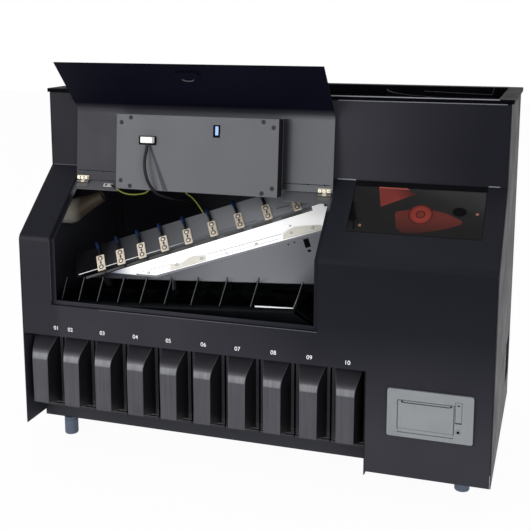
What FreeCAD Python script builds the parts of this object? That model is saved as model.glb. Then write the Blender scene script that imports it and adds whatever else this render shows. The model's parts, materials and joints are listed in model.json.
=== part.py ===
import FreeCAD, Part
import math
import os
from types import SimpleNamespace

import Sketcher

# Coin counting machine: a folded steel case with a coin tray on top, a sorting disc and a coin
# track under a service door, ten coin drawers below and a ticket printer in the right column.
# Case coordinates: x from the left side, y back from the front face, z up from the case's
# bottom edge. Every piece is then set down so that the origin is under the machine's centre.

SIZES = {
    # outer case
    "width": 690,
    "depth": 340,
    "skin": 1.5,
    "seam": 0.3,
    "front_top": 291,
    "slope_top": 383,
    "slope_back": 104,
    "shell_top": 495,
    "bend_radius": 14,
    "band_bottom": 143,
    "column_width": 168,
    "grip_rear": 16,
    "grip_length": 78,
    "grip_low": 45,
    "grip_height": 70,
    "grip_depth": 22,
    "vent_columns": 2,
    "vent_rows": 8,
    "vent_aside": 10,
    "vent_low": 195,
    "vent_length": 90,
    "vent_height": 4,
    "vent_pitch": 12,
    # base and feet
    "case_lift": 36,
    "pan_drop": 8,
    "pan_setback": 53,
    "pan_lip": 20,
    "pan_flange": 12,
    "foot_radius": 10.5,
    "foot_inset": 42,
    "foot_front": 60,
    "foot_rear": 45,
    # service opening in the front
    "opening_left": 50,
    "post_width": 29,
    "opening_bottom": 191,
    "rebate": 5,
    "ledge": 6,
    "top_ledge": 13,
    # service door and its hinges
    "door_skin": 1.2,
    "door_gap": 1.5,
    "door_open": 137,
    "hinge_reach": 111,
    "hinge_depth": 2.7,
    "hinge_edge": 3,
    "hinge_room": 8,
    "hinge_width": 19,
    "hinge_inset": 2,
    "knuckle_radius": 2,
    "knuckle_gap": 0.3,
    "pin_radius": 1,
    "pin_fit": 0.05,
    "leaf": 1,
    "leaf_reach": 9,
    "hinge_head": 1.5,
    # electronics box, screen and cable on the door
    "box_left": 128,
    "box_aside": 76,
    "box_low": 6.5,
    "box_high": 117,
    "box_depth": 22,
    "screen_width": 190,
    "screen_height": 84,
    "screen_skin": 0.8,
    "pull_offset": 20,
    "pull_width": 38,
    "pull_height": 13,
    "pull_depth": 4,
    "plug_x": 180,
    "plug_reach": 43,
    "plug_width": 19,
    "plug_height": 9,
    "plug_rise": 9,
    "port_aside": 90,
    "port_reach": 24,
    "port_width": 5,
    "port_height": 10,
    "cable_radius": 2,
    # window over the sorting disc
    "window_aside": 27,
    "window_width": 180,
    "window_low": 50,
    "window_high": 137,
    "pane": 3,
    # sorter plate, coin track and solenoids, measured on the inclined plane
    "sorter_depth": 68,
    "sorter_skin": 2,
    "sorter_left": 76,
    "sorter_aside": 5,
    "sorter_low_left": -19,
    "sorter_low_right": 8,
    "sorter_high": 200,
    "leg_left": 200,
    "leg_left_top": 88,
    "track_x": 129,
    "track_rise": -8,
    "track_tilt": 26,
    "track_end": 29,
    "track_low_start": 30,
    "track_low_end": 43.5,
    "track_ledge": 13,
    "stop_end": 43,
    "stop_length": 18,
    "stop_height": 8,
    "track_skin": 3,
    "bridge_low": 9.3,
    "bridge_high": 53.5,
    "bridge_left": -45,
    "bridge_slant": 33,
    "bridge_end": 11,
    "bridge_lift": 6,
    "kicker_rise": 4.4,
    "paddle_length": 27,
    "paddle_width": 3.4,
    "paddle_skin": 1.6,
    "paddle_lift": 0.8,
    "sensor_end": 70,
    "sensor_width": 8,
    "sensor_length": 17,
    "sensor_drop": 6,
    "sensor_radius": 2.7,
    "strip_first": 90,
    "strip_end": 96,
    "strip_length": 55,
    "strip_width": 16,
    "strip_skin": 2,
    "solenoid_count": 9,
    "solenoid_first": -10.4,
    "solenoid_end": 63.6,
    "solenoid_growth": 2.1,
    "bracket_width": 12,
    "bracket_length": 28,
    "bracket_mid": 18,
    "bracket_hole": 8,
    "bracket_skin": 1.6,
    "coil_radius": 5.5,
    "coil_length": 24,
    "plunger_radius": 2,
    "plunger_fit": 0.1,
    "plunger_length": 22,
    "lead_radius": 1.8,
    "wire_radius": 1.5,
    # sorting disc
    "disc_aside": 122,
    "disc_rise": 135,
    "disc_radius": 75,
    "disc_skin": 4,
    "disc_gap": 0.6,
    "ring_wall": 3,
    "ring_height": 26,
    "hub_radius": 13,
    "hub_height": 15,
    "shaft_radius": 5,
    "shaft_fit": 0.05,
    "motor_radius": 31,
    "motor_length": 62,
    "disc_plate_half": 92,
    "pin_ring": 51,
    "pin_start": 20,
    "pin_count": 6,
    "pin_height": 4,
    "lens_low": 41.6,
    "lens_high": 77.1,
    "motor_end_radius": 21.7,
    "shaft_length": 37,
    # drawers and the bay that holds them
    "drawer_count": 10,
    "bay_left": 2,
    "drawer_front": 25,
    "drawer_behind": 100,
    "drawer_low": 22,
    "drawer_high": 140,
    "drawer_gap": 1.8,
    "drawer_wall": 2,
    "drawer_face": 3,
    "pull_proud": 2,
    "pull_face": 24.6,
    "pull_base": 40.6,
    "pull_low": 37,
    "pull_top": 114,
    "pull_foot": 31,
    "pull_round": 6,
    "guide_height": 8,
    "guide_wall": 1.2,
    "deck": 1.5,
    "deck_gap": 2,
    # chutes between the track and the drawers
    "chute_front": 20,
    "chute_back": 96,
    "chute_wall": 2,
    "chute_left": 32,
    "chute_first": 55.7,
    "chute_growth": 2.6,
    "chute_aside": 37,
    "reject_width": 64.5,
    "chute_mouth": 191.6,
    "mouth_gain": 21.6,
    "chute_tip": 227.6,
    "tip_gain": 25,
    "fin_lean": 9,
    "lean_gain": 15,
    "fin_tilt": 9.5,
    "fin_tip": 0.7,
    "fin_foot": 4,
    "last_drop": 7,
    "chute_roll": 7,
    # coin tray on top
    "rim_lip": 3,
    "rim_rise": 6,
    "rim_width": 21,
    "rim_front": 7,
    "tray_depth": 60,
    "tray_wall": 2.5,
    "rim_rear": 9,
    "feed_aside": 150,
    "feed_y": 150,
    "feed_radius": 36,
    "guide_radius": 165,
    "guide_aside": 42,
    "guide_behind": 5,
    "guide_skin": 3,
    "guide_end_left": 84,
    "guide_end_front": 142,
    "guide_straight": 69,
    "shelf_front": 175,
    "shelf_aside": 35,
    "shelf_drop": 10,
    # ticket printer
    "bezel_aside": 25,
    "bezel_width": 113,
    "bezel_low": 59,
    "bezel_height": 66,
    "bezel_proud": 3.4,
    "bezel_corner": 3,
    "cover_left": 14,
    "cover_width": 74,
    "cover_low": 6,
    "cover_height": 46,
    "cover_skin": 2.6,
    "cover_proud": 0.2,
    "cover_fit": 0.5,
    "slot_width": 62,
    "slot_height": 1.4,
    "slot_drop": 3,
    "pivot_radius": 0.8,
    "pivot_fit": 0.05,
    "pivot_reach": 0.8,
    "lever_left": 89.9,
    "lever_width": 7.9,
    "lever_low": 27.7,
    "lever_height": 28.8,
    "key_x": 94,
    "key_z": 16.3,
    "printer_depth": 52,
    "roll_radius": 19,
    "roll_width": 57,
    "roll_room": 2,
    "roll_back": 24,
    "spindle_radius": 5,
    "spindle_fit": 0.08,
    "key_radius": 3.4,
    "key_travel": 1.2,
    # inlet, power supply, duct and screws
    "inlet_x": 120,
    "inlet_z": 60,
    "inlet_width": 50,
    "inlet_height": 58,
    "inlet_flange": 2,
    "inlet_depth": 28,
    "rocker_width": 19,
    "rocker_height": 13,
    "rocker_lean": 7,
    "board_left": 150,
    "board_behind": 30,
    "board_length": 150,
    "board_depth": 85,
    "board_skin": 1.6,
    "board_lift": 6,
    "board_sockets": 3,
    "board_socket_left": 28.5,
    "board_socket_pitch": 38,
    "post_radius": 3,
    "lug_left": 98,
    "lug_width": 23,
    "lug_height": 6,
    "rocker_skin": 5,
    "rocker_fit": 0.5,
    "socket_width": 27,
    "socket_height": 19,
    "socket_depth": 18,
    "blade_width": 2,
    "blade_height": 5,
    "blade_low": 6.5,
    "blade_high": 12.5,
    "rocker_back": 5.2,
    "supply_length": 200,
    "supply_depth": 78,
    "supply_height": 52,
    "supply_left": 170,
    "supply_behind": 14,
    "duct_radius": 19,
    "duct_wall": 1.2,
    "duct_y": 120,
    "duct_z": 306,
    "duct_stub": 20,
    "duct_run": 50,
    "duct_back": 10,
    "duct_climb": 27,
    "duct_tip": 9,
    "screw_head": 2.6,
    "screw_rise": 1.4,
    "flat_rise": 0.6,
    "screw_aside": 8,
    "screw_far": 23,
    "screw_in": 5,
    "screw_deep": 12.5,
}

doc = FreeCAD.newDocument("coin_counter")
sheet = doc.addObject("Spreadsheet::Sheet", "Size")
for row, (name, number) in enumerate(SIZES.items(), start=1):
    sheet.set("A%d" % row, str(number))
    sheet.setAlias("A%d" % row, name)
doc.recompute()


class Length:
    """A number together with the sheet expression that gives it."""

    def __init__(self, value, text=None):
        self.value = float(value)
        self.text = text or "(%r)" % float(value)

    def joined(self, sign, other, value):
        return Length(value, "(%s %s %s)" % (self.text, sign, other.text))

    def __add__(self, other):
        other = length(other)
        return self.joined("+", other, self.value + other.value)

    def __sub__(self, other):
        other = length(other)
        return self.joined("-", other, self.value - other.value)

    def __mul__(self, other):
        other = length(other)
        return self.joined("*", other, self.value * other.value)

    def __truediv__(self, other):
        other = length(other)
        return self.joined("/", other, self.value / other.value)

    def __radd__(self, other):
        return length(other) + self

    def __rsub__(self, other):
        return length(other) - self

    def __rmul__(self, other):
        return length(other) * self

    def __neg__(self):
        return length(0) - self


def length(number):
    return number if isinstance(number, Length) else Length(number)


def root(number):
    return Length(math.sqrt(number.value), "sqrt(%s)" % number.text)


d = SimpleNamespace(**{name: Length(number, "Size." + name) for name, number in SIZES.items()})

# the folded front: its slope leans back by the same angle as the door, window and sorter
slope_rise = d.slope_top - d.front_top
slope_length = root(d.slope_back * d.slope_back + slope_rise * slope_rise)
lean = d.slope_back / slope_length
climb = slope_rise / slope_length
fold = (slope_length - slope_rise) / d.slope_back
SLOPE_TURN = 90 - math.degrees(math.atan2(d.slope_back.value, slope_rise.value))

# places that follow from the case's width and depth
d.column_left = d.width - d.column_width
d.window_right = d.width - d.window_aside
d.window_left = d.window_right - d.window_width
d.opening_right = d.window_left - d.post_width
d.box_right = d.opening_right - d.box_aside
d.port_x = d.box_right - d.port_aside
d.sorter_right = d.window_left - d.sorter_aside
d.disc_x = d.width - d.disc_aside
d.feed_x = d.width - d.feed_aside
d.guide_x = d.width - d.guide_aside
d.guide_y = d.depth - d.guide_behind
d.shelf_right = d.width - d.shelf_aside
d.bezel_left = d.width - d.bezel_aside - d.bezel_width
d.grip_front = d.depth - d.grip_rear - d.grip_length
d.vent_left = d.width - d.vent_aside - d.vent_columns * (d.vent_length + d.vent_pitch) + d.vent_pitch
d.supply_front = d.depth - d.supply_behind - d.supply_depth
d.board_front = d.depth - d.board_behind - d.board_depth
d.drawer_length = d.depth - d.drawer_front - d.drawer_behind
drawer_pitch = (d.column_left - d.skin - d.bay_left) / d.drawer_count
inner_left = d.skin + d.seam
inner_right = d.width - d.skin - d.seam

# the coin track, and the steps along it from one coin size to the next
tilt_cos = Length(math.cos(math.radians(d.track_tilt.value)), "cos(%s * 1 deg)" % d.track_tilt.text)
tilt_sin = Length(math.sin(math.radians(d.track_tilt.value)), "sin(%s * 1 deg)" % d.track_tilt.text)
d.track_length = (d.sorter_right - d.track_x - d.track_end) / tilt_cos
d.sensor_run = d.track_length - d.sensor_end
d.bridge_right = d.track_length - d.bridge_end


def steps(first, last, growth):
    """Places from first to last, each step that much longer than the one before."""
    count = int(d.solenoid_count.value)
    pitch = (last - first - growth * ((count - 1) * (count - 2) / 2)) / (count - 1)
    return [first + pitch * i + growth * (i * (i - 1) / 2) for i in range(count)]


SOLENOID_RUNS = steps(d.solenoid_first, d.track_length - d.solenoid_end, d.solenoid_growth)
d.chute_last = d.opening_right - d.chute_aside
CHUTE_TOPS = steps(d.chute_first, d.chute_last - d.reject_width, d.chute_growth)

ORIGIN = FreeCAD.Vector(
    -d.width.value / 2,
    -(d.depth.value + d.rim_lip.value - d.pull_proud.value) / 2,
    d.case_lift.value,
)
CASE = FreeCAD.Placement(ORIGIN, FreeCAD.Rotation())
X_AXIS = FreeCAD.Vector(1, 0, 0)
Y_AXIS = FreeCAD.Vector(0, 1, 0)
Z_AXIS = FreeCAD.Vector(0, 0, 1)
FULL_TURN = 360
NODES = []


def under_slope(reach, depth):
    """Case y and z of a point that far up the slope and that deep under its outer face."""
    reach = length(reach)
    depth = length(depth)
    y = reach * lean + depth * climb
    z = d.front_top + reach * climb - depth * lean
    return y, z


def folded(low, reach, outer, inner):
    """Section of a sheet that follows the lower front and the slope between two depths."""
    outside = [(outer, low), (outer, d.front_top - outer * fold), under_slope(reach, outer)]
    inside = [(inner, low), (inner, d.front_top - inner * fold), under_slope(reach, inner)]
    return outside + inside[::-1]


def sloped(low, high, outer, inner):
    """Section of a flat slab on the slope."""
    return [
        under_slope(low, outer), under_slope(high, outer),
        under_slope(high, inner), under_slope(low, inner),
    ]


def rectangle(u_low, u_high, v_low, v_high):
    return [(u_low, v_low), (u_high, v_low), (u_high, v_high), (u_low, v_high)]


def on_slope(depth, x=0, rise=0):
    """Placement on a plane under the slope: x along it, y up it and z out of it."""
    y, z = under_slope(0, depth)
    turn = FreeCAD.Rotation(X_AXIS, SLOPE_TURN)
    base = FreeCAD.Placement(FreeCAD.Vector(0, y.value, z.value), turn)
    return base * FreeCAD.Placement(FreeCAD.Vector(x, rise, 0), FreeCAD.Rotation())


# Sketches, solids and bodies

TURNS = {
    "YZ": FreeCAD.Rotation(FreeCAD.Vector(1, 1, 1), 120),
    "XZ": FreeCAD.Rotation(X_AXIS, 90),
    "XY": FreeCAD.Rotation(),
}
ALONG = {"YZ": X_AXIS, "XZ": Y_AXIS, "XY": Z_AXIS}
AXIS_NAME = {"YZ": "x", "XZ": "y", "XY": "z"}


def tie(thing, path, size):
    thing.setExpression(path, length(size).text)


def pin(sketch, kind, line, point, size):
    size = length(size)
    index = sketch.addConstraint(Sketcher.Constraint(kind, -1, 1, line, point, size.value))
    tie(sketch, "Constraints[%d]" % index, size)


def draw(sketch, loops):
    """Draws each loop: a list of (u, v) corners, or a (u, v, radius) circle."""
    for loop in loops:
        first = sketch.GeometryCount
        if isinstance(loop, tuple):
            u, v, radius = [length(size) for size in loop]
            middle = FreeCAD.Vector(u.value, v.value, 0)
            sketch.addGeometry(Part.Circle(middle, Z_AXIS, radius.value))
            pin(sketch, "DistanceX", first, 3, u)
            pin(sketch, "DistanceY", first, 3, v)
            index = sketch.addConstraint(Sketcher.Constraint("Radius", first, radius.value))
            tie(sketch, "Constraints[%d]" % index, radius)
            continue
        corners = [(length(u), length(v)) for u, v in loop]
        ends = [FreeCAD.Vector(u.value, v.value, 0) for u, v in corners]
        for i in range(len(ends)):
            sketch.addGeometry(Part.LineSegment(ends[i], ends[(i + 1) % len(ends)]))
        for i, (u, v) in enumerate(corners):
            before = first + (i - 1) % len(corners)
            sketch.addConstraint(Sketcher.Constraint("Coincident", before, 2, first + i, 1))
            pin(sketch, "DistanceX", first + i, 1, u)
            pin(sketch, "DistanceY", first + i, 1, v)


def prism(name, plane, loops, start, span):
    """An extruded sketch that starts that far along the plane's axis."""
    start = length(start)
    sketch = doc.addObject("Sketcher::SketchObject", name + "_sketch")
    sketch.Placement = FreeCAD.Placement(ALONG[plane] * start.value, TURNS[plane])
    tie(sketch, "Placement.Base." + AXIS_NAME[plane], start)
    draw(sketch, loops)
    solid = doc.addObject("Part::Extrusion", name)
    solid.Base = sketch
    solid.DirMode = "Custom"
    solid.Dir = ALONG[plane]
    solid.Solid = True
    solid.LengthFwd = length(span).value
    tie(solid, "LengthFwd", span)
    return solid


def block(name, x, y, z):
    """A box between the two ends given on each axis."""
    solid = doc.addObject("Part::Box", name)
    for side, axis, ends in (("Length", "x", x), ("Width", "y", y), ("Height", "z", z)):
        low = length(ends[0])
        tie(solid, side, length(ends[1]) - low)
        tie(solid, "Placement.Base." + axis, low)
    return solid


def rod(name, axis, centre, start, span, radius):
    """A cylinder along x, y or z; centre gives the other two coordinates."""
    solid = doc.addObject("Part::Cylinder", name)
    tie(solid, "Radius", radius)
    tie(solid, "Height", span)
    turn = {"x": FreeCAD.Rotation(Y_AXIS, 90), "y": FreeCAD.Rotation(X_AXIS, -90), "z": FreeCAD.Rotation()}
    solid.Placement = FreeCAD.Placement(FreeCAD.Vector(), turn[axis])
    others = [name_ for name_ in "xyz" if name_ != axis]
    tie(solid, "Placement.Base." + axis, start)
    tie(solid, "Placement.Base." + others[0], centre[0])
    tie(solid, "Placement.Base." + others[1], centre[1])
    return solid


def fuse(name, parts):
    solid = doc.addObject("Part::MultiFuse", name)
    solid.Shapes = parts
    return solid


def cut(name, base, tools):
    solid = doc.addObject("Part::Cut", name)
    solid.Base = base
    solid.Tool = tools[0] if len(tools) == 1 else fuse(name + "_tools", tools)
    return solid


def group(name, parts):
    """Identical pieces that share one node and stay separate solids."""
    solid = doc.addObject("Part::Compound", name)
    solid.Links = parts
    return solid


def sketch_in(body, plane, start, loops):
    start = length(start)
    sketch = body.newObject("Sketcher::SketchObject", body.Name + "_sketch")
    datum = [item for item in body.Origin.OriginFeatures if item.Role == plane + "_Plane"][0]
    sketch.AttachmentSupport = (datum, [""])
    sketch.MapMode = "FlatFace"
    tie(sketch, "AttachmentOffset.Base.z", -start if plane == "XZ" else start)
    draw(sketch, loops)
    return sketch


def pad(body, plane, loops, start, span):
    feature = body.newObject("PartDesign::Pad", body.Name + "_pad")
    feature.Profile = sketch_in(body, plane, start, loops)
    feature.Reversed = plane == "XZ"
    tie(feature, "Length", span)
    return feature


def pocket(body, plane, loops, start, span):
    """Cuts away what lies between start and start + span along the plane's axis."""
    doc.recompute()
    before = body.Shape.Volume
    feature = body.newObject("PartDesign::Pocket", body.Name + "_pocket")
    feature.Profile = sketch_in(body, plane, start, loops)
    feature.Reversed = plane != "XZ"
    tie(feature, "Length", span)
    doc.recompute()
    if body.Shape.Volume > before - 0.001:
        raise RuntimeError("%s: a pocket cuts nothing" % body.Label)
    return feature


def round_edges(body, radius, wanted):
    """Rounds the body's straight edges whose middle point the wanted test accepts."""
    doc.recompute()
    names = []
    for number, edge in enumerate(body.Shape.Edges, start=1):
        if isinstance(edge.Curve, Part.Line) and wanted(edge):
            names.append("Edge%d" % number)
    if not names:
        raise RuntimeError("%s: no edge to round" % body.Label)
    rounded = body.Tip
    feature = body.newObject("PartDesign::Fillet", body.Name + "_fillet")
    feature.Base = (rounded, names)
    tie(feature, "Radius", radius)
    doc.recompute()
    return feature


def new_body(label):
    return doc.addObject("PartDesign::Body", label)


def node(thing, placement=CASE):
    """Names a finished piece and sets it down in the machine."""
    thing.Label = thing.Name
    thing.Placement = placement
    NODES.append(thing)
    return thing


def edge_middle(edge):
    return (edge.Vertexes[0].Point + edge.Vertexes[1].Point) / 2


def runs_along(edge, axis):
    way = edge.Vertexes[1].Point - edge.Vertexes[0].Point
    return way.Length > 0 and abs(way.normalize().dot(axis)) > 0.999


def near(edge, y, z):
    middle = edge_middle(edge)
    return math.hypot(middle.y - y.value, middle.z - z.value) < 0.05


# Case


def round_bend(body, depth, radius):
    """Rounds the fold between the lower front and the slope at one depth."""
    y = length(depth)
    z = d.front_top - y * fold
    round_edges(body, radius, lambda edge: runs_along(edge, X_AXIS) and near(edge, y, z))


def make_front_cowl():
    body = new_body("front_cowl")
    outside = [(0, 0), (0, d.front_top), (d.slope_back, d.slope_top), (d.slope_back, d.shell_top)]
    inside = [
        (d.skin, 0), (d.skin, d.front_top - d.skin * fold),
        (d.slope_back + d.skin, d.slope_top - d.skin * fold), (d.slope_back + d.skin, d.shell_top),
    ]
    pad(body, "YZ", [outside + inside[::-1]], inner_left, inner_right - inner_left)
    round_bend(body, 0, d.bend_radius)
    round_bend(body, d.skin, d.bend_radius - d.skin)
    frame_top = d.hinge_reach + d.hinge_room + d.ledge
    frame = folded(d.opening_bottom - d.ledge, frame_top, d.skin, d.rebate + d.skin)
    frame_left = d.opening_left - d.ledge
    pad(body, "YZ", [frame], frame_left, d.opening_right + d.ledge - frame_left)
    window_back = d.pane + d.seam
    window_frame = sloped(d.window_low - d.ledge, d.window_high, d.skin, window_back + d.skin)
    window_frame_left = d.window_left - d.ledge
    pad(body, "YZ", [window_frame], window_frame_left, d.window_right + d.ledge - window_frame_left)
    outward = d.bend_radius
    opening = folded(d.opening_bottom, d.hinge_reach + d.hinge_room, -outward, d.rebate)
    pocket(body, "YZ", [opening], d.opening_left, d.opening_right - d.opening_left)
    inner_left_edge = d.opening_left + d.ledge
    inner = folded(
        d.opening_bottom + d.ledge, d.hinge_reach - d.top_ledge, d.skin, d.rebate + 2 * d.skin
    )
    pocket(body, "YZ", [inner], inner_left_edge, d.opening_right - d.ledge - inner_left_edge)
    box_way = sloped(
        d.hinge_reach - 2 * d.top_ledge, d.hinge_reach + d.hinge_room, d.skin, d.rebate + 2 * d.skin
    )
    box_room = d.ledge / 2
    pocket(body, "YZ", [box_way], d.box_left - box_room, d.box_right - d.box_left + 2 * box_room)
    window = sloped(d.window_low, d.window_high, -outward, window_back)
    pocket(body, "YZ", [window], d.window_left, d.window_right - d.window_left)
    view = sloped(
        d.window_low + d.ledge, d.window_high - d.ledge, d.skin, window_back + 2 * d.skin
    )
    pocket(body, "YZ", [view], d.window_left + d.ledge, d.window_right - d.window_left - 2 * d.ledge)
    bay = rectangle(0, d.column_left, -d.skin, d.band_bottom)
    pocket(body, "XZ", [bay], -d.skin, 3 * d.skin)
    hole = rectangle(
        d.bezel_left + d.ledge, d.bezel_left + d.bezel_width - d.ledge,
        d.bezel_low + d.cover_low - d.pane, d.bezel_low + d.bezel_height - d.ledge,
    )
    pocket(body, "XZ", [hole], -d.skin, 3 * d.skin)
    node(body)


def make_side_panel(label, start, grip_out):
    """A side sheet with a pressed-in carrying grip; grip_out is the outer side of the sheet."""
    body = new_body(label)
    outline = [
        (0, 0), (d.depth, 0), (d.depth, d.shell_top), (d.slope_back, d.shell_top),
        (d.slope_back, d.slope_top), (0, d.front_top),
    ]
    pad(body, "YZ", [outline], start, d.skin)
    round_bend(body, 0, d.bend_radius)
    grip = rectangle(d.grip_front, d.grip_front + d.grip_length, d.grip_low, d.grip_low + d.grip_height)
    inside = rectangle(
        d.grip_front + d.skin, d.grip_front + d.grip_length - d.skin,
        d.grip_low + d.skin, d.grip_low + d.grip_height - d.skin,
    )
    inward = grip_out == "left"
    cup_start = start if inward else start + d.skin - d.grip_depth
    pad(body, "YZ", [grip], cup_start, d.grip_depth)
    hollow = d.grip_depth - d.skin
    hollow_start = start if inward else start + d.skin - hollow
    pocket(body, "YZ", [inside], hollow_start, hollow)
    node(body)


def make_rear_cover():
    body = new_body("rear_cover")
    plate = rectangle(inner_left, inner_right, 0, d.shell_top)
    pad(body, "XZ", [plate], d.depth - d.skin, d.skin)
    for flange_left in (inner_left, inner_right - d.skin):
        low = d.pan_flange - d.pan_drop + d.seam
        flange = rectangle(flange_left, flange_left + d.skin, low, d.shell_top)
        pad(body, "XZ", [flange], d.depth - d.skin - d.pan_flange, d.pan_flange)
    slots = []
    for column in range(int(d.vent_columns.value)):
        for line in range(int(d.vent_rows.value)):
            x = d.vent_left + (d.vent_length + d.vent_pitch) * column
            z = d.vent_low + d.vent_pitch * line
            slots.append(rectangle(x, x + d.vent_length, z, z + d.vent_height))
    pocket(body, "XZ", slots, d.depth - 2 * d.skin, 3 * d.skin)
    hole = rectangle(
        d.inlet_x - d.inlet_width / 2 + d.skin, d.inlet_x + d.inlet_width / 2 - d.skin,
        d.inlet_z - d.inlet_height / 2 + d.skin, d.inlet_z + d.inlet_height / 2 - d.skin,
    )
    pocket(body, "XZ", [hole], d.depth - 2 * d.skin, 3 * d.skin)
    node(body)


def make_base_pan():
    body = new_body("base_pan")
    rear = d.depth - d.skin - d.seam
    floor = -d.pan_drop
    inside_rear = rear - d.skin
    outside = rectangle(inner_left, inner_right, d.pan_setback, rear)
    pad(body, "XY", [outside], floor, d.pan_drop + d.pan_lip)
    inside = rectangle(
        inner_left + d.skin, inner_right - d.skin, d.pan_setback + d.skin, inside_rear
    )
    pocket(body, "XY", [inside], floor + d.skin, d.pan_drop + d.pan_lip)
    low_walls = rectangle(inner_left - d.seam, inner_right + d.seam, d.pan_setback + d.skin, d.depth)
    pocket(body, "XY", [low_walls], floor + d.pan_flange, d.pan_drop + d.pan_lip)
    lip_end = d.column_left - d.skin
    beside = rectangle(lip_end, inner_right + d.seam, 0, d.depth)
    pocket(body, "XY", [beside], floor + d.pan_flange, d.pan_drop + d.pan_lip)
    node(body)


def make_feet():
    feet = []
    for x in (d.foot_inset, d.width - d.foot_inset):
        for y in (d.foot_front, d.depth - d.foot_rear):
            foot = rod(
                "foot", "z", (x, y), -d.case_lift, d.case_lift - d.pan_drop, d.foot_radius
            )
            feet.append(foot)
    node(group("feet", feet))


def make_inner_frame():
    """The shelf over the drawers, with a hole for each drawer's coins, and the column's inner wall."""
    rear = d.depth - d.skin - d.pan_flange - 2 * d.seam
    z = (d.band_bottom, d.band_bottom + d.deck)
    shelf = block("shelf_plate", (inner_left, inner_right), (inner_left, rear), z)
    holes = []
    hole_side = d.drawer_wall + d.deck_gap
    for i in range(int(d.drawer_count.value)):
        left = d.bay_left + drawer_pitch * i
        holes.append(block(
            "shelf_hole", (left + hole_side, left + drawer_pitch - hole_side),
            (d.drawer_front + 2 * d.drawer_wall, d.chute_back - d.drawer_wall),
            (z[0] - d.deck, z[1] + d.deck),
        ))
    x = (d.column_left - d.skin, d.column_left)
    foot = -d.pan_drop + d.skin + d.seam
    wall = block("wall", x, (inner_left, rear), (foot, z[1] - d.deck / 2))
    lip_room = block(
        "wall_notch", (x[0] - d.skin, x[1] + d.skin),
        (d.pan_setback - d.seam, d.pan_setback + d.skin + d.seam), (foot - d.skin, d.pan_lip + d.seam),
    )
    node(cut("inner_frame", fuse("frame_solid", [shelf, wall]), holes + [lip_room]))


def make_drawer_guides():
    """The raised floor under the drawers, with a thin rib between each two."""
    left = inner_left + d.skin + d.seam
    right = d.column_left - d.skin - d.seam
    front = d.pan_setback + d.skin + d.seam
    rear = d.drawer_front + d.drawer_length + d.deck_gap
    top = d.drawer_low - d.seam
    foot = -d.pan_drop + d.skin + d.seam
    pieces = [block("guide_floor", (left, right), (front, rear), (top - d.deck, top))]
    for x in (left, right - d.deck):
        pieces.append(block("guide_leg", (x, x + d.deck), (front, rear), (foot, top)))
    pieces.append(block(
        "guide_stop", (left, right), (rear - d.deck, rear), (foot, top + d.guide_height),
    ))
    for i in range(1, int(d.drawer_count.value)):
        x = d.bay_left + drawer_pitch * i - d.guide_wall / 2
        pieces.append(block(
            "guide_rib", (x, x + d.guide_wall), (front, rear), (top - d.deck, top + d.guide_height),
        ))
    node(fuse("drawer_guides", pieces))


# Drawers


def make_drawer(number):
    body = new_body("drawer_%02d" % number)
    wide = drawer_pitch - d.drawer_gap
    tall = d.drawer_high - d.drawer_low
    wall = d.drawer_wall
    front_wall = d.drawer_face
    pad(body, "XY", [rectangle(0, wide, 0, d.drawer_length)], 0, tall)
    inside = rectangle(wall, wide - wall, front_wall, d.drawer_length - wall)
    pocket(body, "XY", [inside], wall, tall)
    reach = d.drawer_front + d.pull_proud
    base_side = (wide - d.pull_base) / 2
    face_side = (wide - d.pull_face) / 2
    base = rectangle(base_side, wide - base_side, d.pull_foot - d.drawer_low, tall)
    face = rectangle(
        face_side, wide - face_side, d.pull_low - d.drawer_low, d.pull_top - d.drawer_low
    )
    loft = body.newObject("PartDesign::AdditiveLoft", body.Name + "_pull")
    loft.Profile = sketch_in(body, "XZ", 0, [base])
    loft.Sections = [sketch_in(body, "XZ", -reach, [face])]
    loft.Ruled = True
    foot = d.pull_foot - d.drawer_low
    lip = rectangle(0, wide, foot - front_wall - wall, foot - front_wall)
    pad(body, "XZ", [lip], -front_wall, front_wall)
    doc.recompute()
    top = d.pull_top - d.drawer_low
    round_edges(body, d.pull_round, lambda edge: runs_along(edge, X_AXIS) and near(edge, -reach, top))
    left = d.bay_left + drawer_pitch * (number - 1) + d.drawer_gap / 2
    spot = FreeCAD.Vector(left.value, d.drawer_front.value, d.drawer_low.value)
    node(body, CASE * FreeCAD.Placement(spot, FreeCAD.Rotation()))


# Coin chutes


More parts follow.
